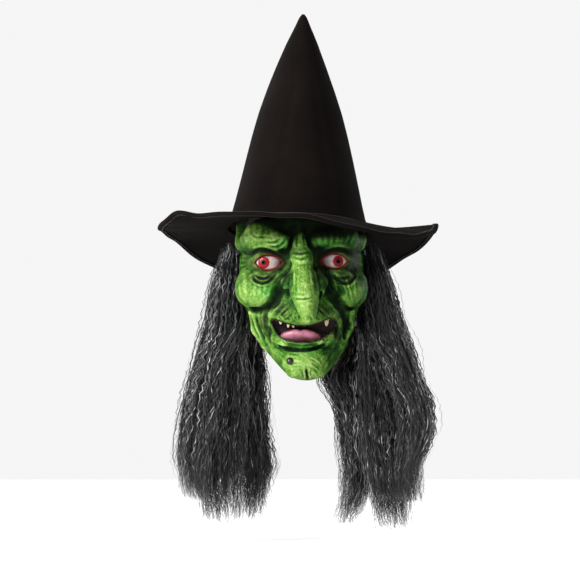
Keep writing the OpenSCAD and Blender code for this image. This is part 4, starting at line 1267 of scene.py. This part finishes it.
def make_cone(cloth):
    """Felt cone with its soft dents and the flare at its foot."""
    rows, cols = 110, 160
    share = np.linspace(0, 1, rows)
    fine = np.linspace(0, 1, 800)
    shape = np.interp(fine, *CONE_SHAPE)
    kernel = np.exp(-(np.arange(-24, 25) / 10.0) ** 2)
    shape[30:770] = np.convolve(shape, kernel / kernel.sum(), "same")[30:770]
    size = np.interp(share, fine, shape)[:, None]
    turn = np.linspace(0, 2 * math.pi, cols, endpoint=False)[None, :]
    height = CONE_H * share[:, None]
    rim = np.stack([np.sin(turn) + 0 * height, -np.cos(turn) + 0 * height, height / 45 + 0 * turn], -1)
    soft = smoothstep(0, 0.12, share)[:, None] * smoothstep(1.0, 0.8, share)[:, None]
    dent = 1.1 * waves(rim.reshape(-1, 3) * [1, 1, 0.55], 1.6, 70).reshape(rows, cols) * soft
    for place, depth, wide, drift in ((-0.45, 1.6, 0.10, 0.35), (0.55, 1.3, 0.12, -0.25),
                                      (1.5, 1.5, 0.14, 0.2),
                                      (-1.6, 1.4, 0.13, -0.3), (2.6, 1.2, 0.12, 0.2)):
        way = np.angle(np.exp(1j * (turn - place - drift * share[:, None])))
        dent = dent - depth * np.exp(-(way / wide) ** 2) * soft * smoothstep(0.9, 0.3, share)[:, None]
    ring = 0.7 * np.exp(-((height - 9) / 4) ** 2) * np.sin(3 * turn + 1)
    walls = []
    for inset, drop in ((0.0, 0.0), (FELT_T, FELT_T)):
        r = np.maximum(0.3, CROWN_W / 2 * size - inset + (dent + ring) * (1 if inset == 0 else 0.6))
        q = np.maximum(0.3, CROWN_L / 2 * size - inset + (dent + ring) * (1 if inset == 0 else 0.6))
        z = height - drop * (share[:, None] > 0)
        walls.append(np.stack([r * np.sin(turn), -q * np.cos(turn), z + 0 * turn], -1))
    points = np.concatenate([walls[1][::-1].reshape(-1, 3), walls[0].reshape(-1, 3)])
    faces = grid_faces(2 * rows, cols, True)
    ends = [list(range(cols)), list(range((2 * rows - 1) * cols, 2 * rows * cols))[::-1]]
    ob = mesh_object("felt_cone", hat_placed(points), faces.tolist() + ends, cloth)
    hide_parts("hat_cone")
    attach(ob, "hat")
    return ob


def brim_edge_heights(turns):
    """Height of the brim's edge, without the corners of its table."""
    fine = np.arange(0, 360, 1.0)
    wave = np.interp(fine, *np.array(BRIM_WAVE, float).T)
    kernel = np.exp(-(np.arange(-12, 13) / 4.5) ** 2)
    wave = np.convolve(np.concatenate([wave[-12:], wave, wave[:12]]), kernel / kernel.sum(), "valid")
    return np.interp(turns % 360, np.append(fine, 360), np.append(wave, wave[0]))


def brim_point(turns, share, lift):
    a = np.radians(turns)
    c = np.stack([HAT[0] + CROWN_W / 2 * np.sin(a), HAT[1] - CROWN_L / 2 * math.cos(HAT_TILT) * np.cos(a),
                  HAT[2] + CROWN_L / 2 * math.sin(HAT_TILT) * np.cos(a)
                  - CROWN_W / 2 * math.sin(HAT_LEAN) * np.sin(a)], -1)
    reach = BRIM_W * share
    fall = (brim_edge_heights(turns) - c[..., 2]) * np.maximum(share, 0) ** 1.25
    fall = np.where(share > 0, fall,
                    reach * (math.tan(HAT_TILT) * np.cos(a) - math.tan(HAT_LEAN) * np.sin(a)))
    ripple = (0.7 * np.sin(np.radians(turns * 11 + 40)) * share ** 2
              + 0.5 * np.sin(np.radians(turns * 17)) * share ** 2)
    return np.stack([c[..., 0] + reach * np.sin(a), c[..., 1] - reach * np.cos(a),
                     c[..., 2] + fall + lift + np.where(share > 0.2, ripple, 0)], -1)


BRIM_MID, FELT_BRIM, BRIM_GAP = -1.6, 1.4, 0.1
BRIM_TURNS = np.arange(0, 360, 1.5)


def make_brim(cloth):
    shares = np.concatenate([[-0.03], np.linspace(0, 0.966, 26)])[:, None]
    for name, node, high in (("felt_brim_top", "brim_top", -BRIM_GAP),
                             ("felt_brim_under", "brim_underside", BRIM_MID - BRIM_GAP)):
        top = brim_point(BRIM_TURNS[None, :], shares, high)
        low = brim_point(BRIM_TURNS[None, :], shares, high - FELT_BRIM)
        rows = np.concatenate([low, top[::-1], low[:1]])
        n = len(BRIM_TURNS)
        faces = grid_faces(2 * len(shares), n, True)
        closing = np.stack([np.arange(n) + (2 * len(shares) - 1) * n,
                            (np.arange(n) + 1) % n + (2 * len(shares) - 1) * n,
                            (np.arange(n) + 1) % n, np.arange(n)], 1)
        ob = mesh_object(name, rows[:-1].reshape(-1, 3), np.concatenate([faces, closing]), cloth)
        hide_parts(node)
        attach(ob, "hat")


def edge_tube(profile):
    """Sections round the brim's edge from points (outwards, up)."""
    p = brim_point(BRIM_TURNS, np.ones(len(BRIM_TURNS)), BRIM_MID)
    u = p - brim_point(BRIM_TURNS, np.full(len(BRIM_TURNS), 0.94), BRIM_MID)
    u /= np.linalg.norm(u, axis=1)[:, None]
    t = np.roll(p, -1, 0) - np.roll(p, 1, 0)
    v = np.cross(t, u)
    v /= np.linalg.norm(v, axis=1)[:, None]
    v *= np.sign(v[:, 2])[:, None]
    return p[:, None] + u[:, None] * np.array(profile)[None, :, :1] + v[:, None] * np.array(profile)[None,
                                                                                                     :, 1:]


def closed_tube(rings):
    n, m = rings.shape[:2]
    i, j = np.arange(n)[:, None], np.arange(m)[None, :]
    quads = np.stack([i * m + j, i * m + (j + 1) % m, ((i + 1) % n) * m + (j + 1) % m,
                      ((i + 1) % n) * m + j], -1)
    return rings.reshape(-1, 3), quads.reshape(-1, 4)[:, ::-1]


def make_binding(cloth, thread):
    """Folded felt strip over the edge, with its row of stitches on both faces, and the wire inside."""
    arc = [(2.3 * math.cos(a), 2.35 * math.sin(a)) for a in np.linspace(-math.pi / 2, math.pi / 2, 11)]
    inner = [(1.2 * math.cos(a), 1.75 * math.sin(a)) for a in np.linspace(math.pi / 2, -math.pi / 2, 7)]
    outline = [(-4.2, -1.75), (-4.35, -2.05), (-4.1, -2.35)] + arc + [(-4.1, 2.35), (-4.35, 2.05),
                                                                      (-4.2, 1.75)] + inner
    points, faces = closed_tube(edge_tube(outline))
    ob = mesh_object("felt_binding", points, faces, cloth)
    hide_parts("brim_binding")
    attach(ob, "hat")
    ring = [(0.8 * math.cos(a), 0.8 * math.sin(a)) for a in np.linspace(0, 2 * math.pi, 10, endpoint=False)]
    points, faces = closed_tube(edge_tube(ring))
    s = Shader("spring_wire", Metallic=1.0, Roughness=0.35)
    s.bump(s.noise(900, 2), 0.1, 0.4)
    wire = mesh_object("edge_wire", points, faces, s.done(Base_Color=s.mix(s.noise(200, 3), (0.3, 0.3, 0.3),
                                                                      (0.5, 0.5, 0.5))))
    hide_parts("brim_wire")
    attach(wire, "hat")
    rails = [edge_tube([(-3.1, height)])[:, 0] for height in (2.36, -2.36)]
    stitches = mesh_from_stitches("edge_stitches", rails, 3.4, 2.2, 0.34, thread, True)
    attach(stitches, "hat")


def mesh_from_stitches(name, rails, pitch, length, radius, thread, closed):
    """Short thread capsules laid end to end along smooth lines."""
    points, faces, count = [], [], 0
    for rail in rails:
        line = np.concatenate([rail, rail[:1]]) if closed else rail
        run = np.concatenate([[0], np.cumsum(np.linalg.norm(np.diff(line, axis=0), axis=1))])
        number = int(run[-1] / pitch)
        starts = np.arange(number) * run[-1] / number
        ends = np.stack([[np.interp(starts + d, run, line[:, k]) for k in range(3)] for d in (0, length)])
        a, b = ends[0].T, ends[1].T
        along = (b - a) / np.linalg.norm(b - a, axis=1)[:, None]
        up = np.cross(along, [0.3, 0.2, 1.0])
        up /= np.linalg.norm(up, axis=1)[:, None]
        side = np.cross(along, up)
        turn = np.linspace(0, 2 * math.pi, 6, endpoint=False)
        rings = []
        for t, r in ((-0.02, 0.25), (0.12, 0.85), (0.5, 1.0), (0.88, 0.85), (1.02, 0.25)):
            c = a + (b - a) * t
            rings.append(c[:, None] + radius * r * (up[:, None] * np.cos(turn)[None, :, None]
                                                    + side[:, None] * np.sin(turn)[None, :, None]))
        block = np.stack(rings, 1)
        quads = grid_faces(5, 6, True)
        points.append(block.reshape(-1, 3))
        faces.append((quads[None] + 30 * np.arange(number)[:, None, None]).reshape(-1, 4) + count)
        count += number * 30
    return mesh_object(name, np.concatenate(points), np.concatenate(faces), thread)


def make_seams(thread):
    """Stitches down both sides of the cone's back lap and round the foot of the cone."""
    share = np.linspace(0.05, 0.94, 120)
    size = np.interp(share, *CONE_SHAPE)
    rails = [hat_placed(np.stack([np.full(120, x), CROWN_L / 2 * size + 1.75, CONE_H * share],
                                 1)) for x in (-2.2, 2.2)]
    ob = mesh_from_stitches("back_seam_stitches", rails, 3.6, 2.4, 0.32, thread, False)
    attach(ob, "hat")
    foot = brim_point(BRIM_TURNS, np.full(len(BRIM_TURNS), 0.016), 0.15)
    ob = mesh_from_stitches("foot_stitches", [foot], 3.4, 2.4, 0.36, thread, True)
    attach(ob, "hat")


# ---------------------------------------------------------------- CAD pieces that stay


def finish_cad_pieces(cloth):
    lining = woven("lining_cloth", (0.020, 0.016, 0.013), (0.06, 0.05, 0.04), 0.7)
    grosgrain = woven("grosgrain_band", (0.025, 0.018, 0.013), (0.07, 0.05, 0.036), 1.2)
    net = woven("cap_net", (0.004, 0.004, 0.004), (0.03, 0.03, 0.03), 1.6)
    gauze = woven("mouth_gauze", (0.003, 0.002, 0.002), (0.016, 0.010, 0.010), 0.9)
    elastic = Shader("ribbed_elastic", Roughness=0.8, Sheen_Weight=0.2)
    rib = elastic.wave(1 / 0.0014 / 6.28 * 2, "Z", 0.0)
    cord = elastic.noise(1200, 3)
    shade = elastic.mix(elastic.span(rib, 0.2, 0.9), (0.006, 0.006, 0.007), (0.035, 0.035, 0.04))
    shade = elastic.mix(elastic.span(cord, 0.55, 0.75, 0.0, 0.5), shade, (0.08, 0.08, 0.085))
    elastic.bump(rib, 0.4, 0.8)
    elastic = elastic.done(Base_Color=shade)
    rivet = Shader("blackened_nickel", Metallic=1.0)
    worn = rivet.noise(700, 5, 0.7)
    rivet.bump(worn, 0.1, 0.3)
    rivet = rivet.done(Roughness=rivet.span(worn, 0.3, 0.7, 0.18, 0.42),
                       Base_Color=rivet.mix(worn, (0.018, 0.017, 0.016), (0.05, 0.048, 0.045)))
    plastic = Shader("moulded_plastic", Specular_IOR_Level=0.5)
    grain = plastic.noise(1800, 3, 0.6)
    plastic.bump(grain, 0.15, 0.5)
    plastic = plastic.done(Roughness=plastic.span(grain, 0.3, 0.7, 0.4, 0.58),
                           Base_Color=plastic.mix(plastic.noise(90, 3), (0.008, 0.008, 0.009),
                                                  (0.02, 0.02, 0.021)))
    weft = Shader("sewn_weft", Roughness=0.6)
    stripe = weft.wave(210, "Z", 3.0)
    weft.bump(stripe, 0.5, 0.8)
    weft = weft.done(Base_Color=weft.mix(weft.span(stripe, 0.2, 0.9), (0.002, 0.002, 0.002),
                                         (0.010, 0.010, 0.011)))
    paint("cone_lining", lining, smooth=1)
    paint("sweatband", grosgrain, smooth=1)
    paint("wig_cap", net, smooth=1)
    paint("mouth_lining", gauze, smooth=1)
    paint("cone_back_seam", cloth, bevel=0.35)
    paint("elastic_strap", elastic, bevel=0.4)
    paint("strap_slider", plastic, bevel=0.6)
    for node in ("left_strap_rivet", "right_strap_rivet"):
        paint(node, rivet, bevel=0.35)
    for node in ("left_weft", "right_weft"):
        paint(node, weft, bevel=0.4)
    for node in ("elastic_strap", "cone_back_seam", "left_strap_rivet", "right_strap_rivet"):
        nodes[node].data.polygons.foreach_set("use_smooth", [False] * len(nodes[node].data.polygons))


# ---------------------------------------------------------------- stage, light and camera


def make_stage():
    s = Shader("pale_floor", Roughness=0.9)
    floor = mesh_object("floor", [(-3000, -2600, -186), (3000, -2600, -186), (3000, 2400, -186),
                                  (-3000, 2400, -186)],
                        [(0, 1, 2, 3)], s.done(Base_Color=s.mix(s.noise(3, 2), (0.90, 0.90, 0.90),
                                                                (0.93, 0.93, 0.93))))
    world = bpy.data.worlds.new("studio")
    bpy.context.scene.world = world
    world.use_nodes = True
    back = world.node_tree.nodes["Background"]
    back.inputs[0].default_value = (1, 1, 1, 1)
    back.inputs[1].default_value = 0.92
    target = Vector((0, -0.03, 0.10))
    bpy.context.scene.view_settings.view_transform = "Standard"
    for name, at, power, size in (("key", (-1.25, -1.15, 0.85), 84, 0.5), ("side", (1.5, 1.3, 0.35), 16, 0.8),
                                  ("back", (-0.9, 1.4, 0.8), 14, 0.7)):
        lamp = bpy.data.lights.new(name, "AREA")
        lamp.energy = power
        lamp.size = size
        ob = bpy.data.objects.new(name, lamp)
        ob.location = at
        ob.rotation_euler = (target - Vector(at)).to_track_quat("-Z", "Y").to_euler()
        bpy.context.scene.collection.objects.link(ob)


def make_camera():
    """Straight from the front, far off, framed as the photograph is: 658 mm across at the face."""
    cam = bpy.data.cameras.new("camera")
    ob = bpy.data.objects.new("camera", cam)
    bpy.context.scene.collection.objects.link(ob)
    far = 7.0
    cam.sensor_width = 36
    cam.lens = 36 * far / 0.6577
    aim = Vector((-0.013, -0.06, 0.104))
    ob.location = aim + Vector((0, -far, 0.0))
    ob.rotation_euler = (math.radians(90), 0, 0)
    bpy.context.scene.camera = ob


make_camera()
make_stage()
black_felt = felt("black_felt", (0.0018, 0.0014, 0.0013), (0.0044, 0.0032, 0.0028))
thread = Shader("black_thread", Roughness=0.55)
thread.bump(thread.wave(900, "DIAGONAL", 1.0), 0.2, 0.8)
thread = thread.done(Base_Color=thread.mix(thread.noise(400, 3), (0.006, 0.005, 0.005), (0.03, 0.026, 0.024)))
clay = make_face()
make_eyes()
make_tongue()
make_teeth()
make_wart(clay)
fibre = hair_fibre()
for number, (node, count) in enumerate((("right_front_lock", 1250), ("right_side_lock", 1400),
                                        ("right_back_lock", 1100), ("left_front_lock", 1250),
                                        ("left_side_lock", 1400), ("left_back_lock", 1100))):
    make_lock(node, count, 64, 100 + number, fibre)
make_back_hair(fibre)
make_cone(black_felt)
make_brim(black_felt)
make_binding(black_felt, thread)
make_seams(thread)
finish_cad_pieces(black_felt)
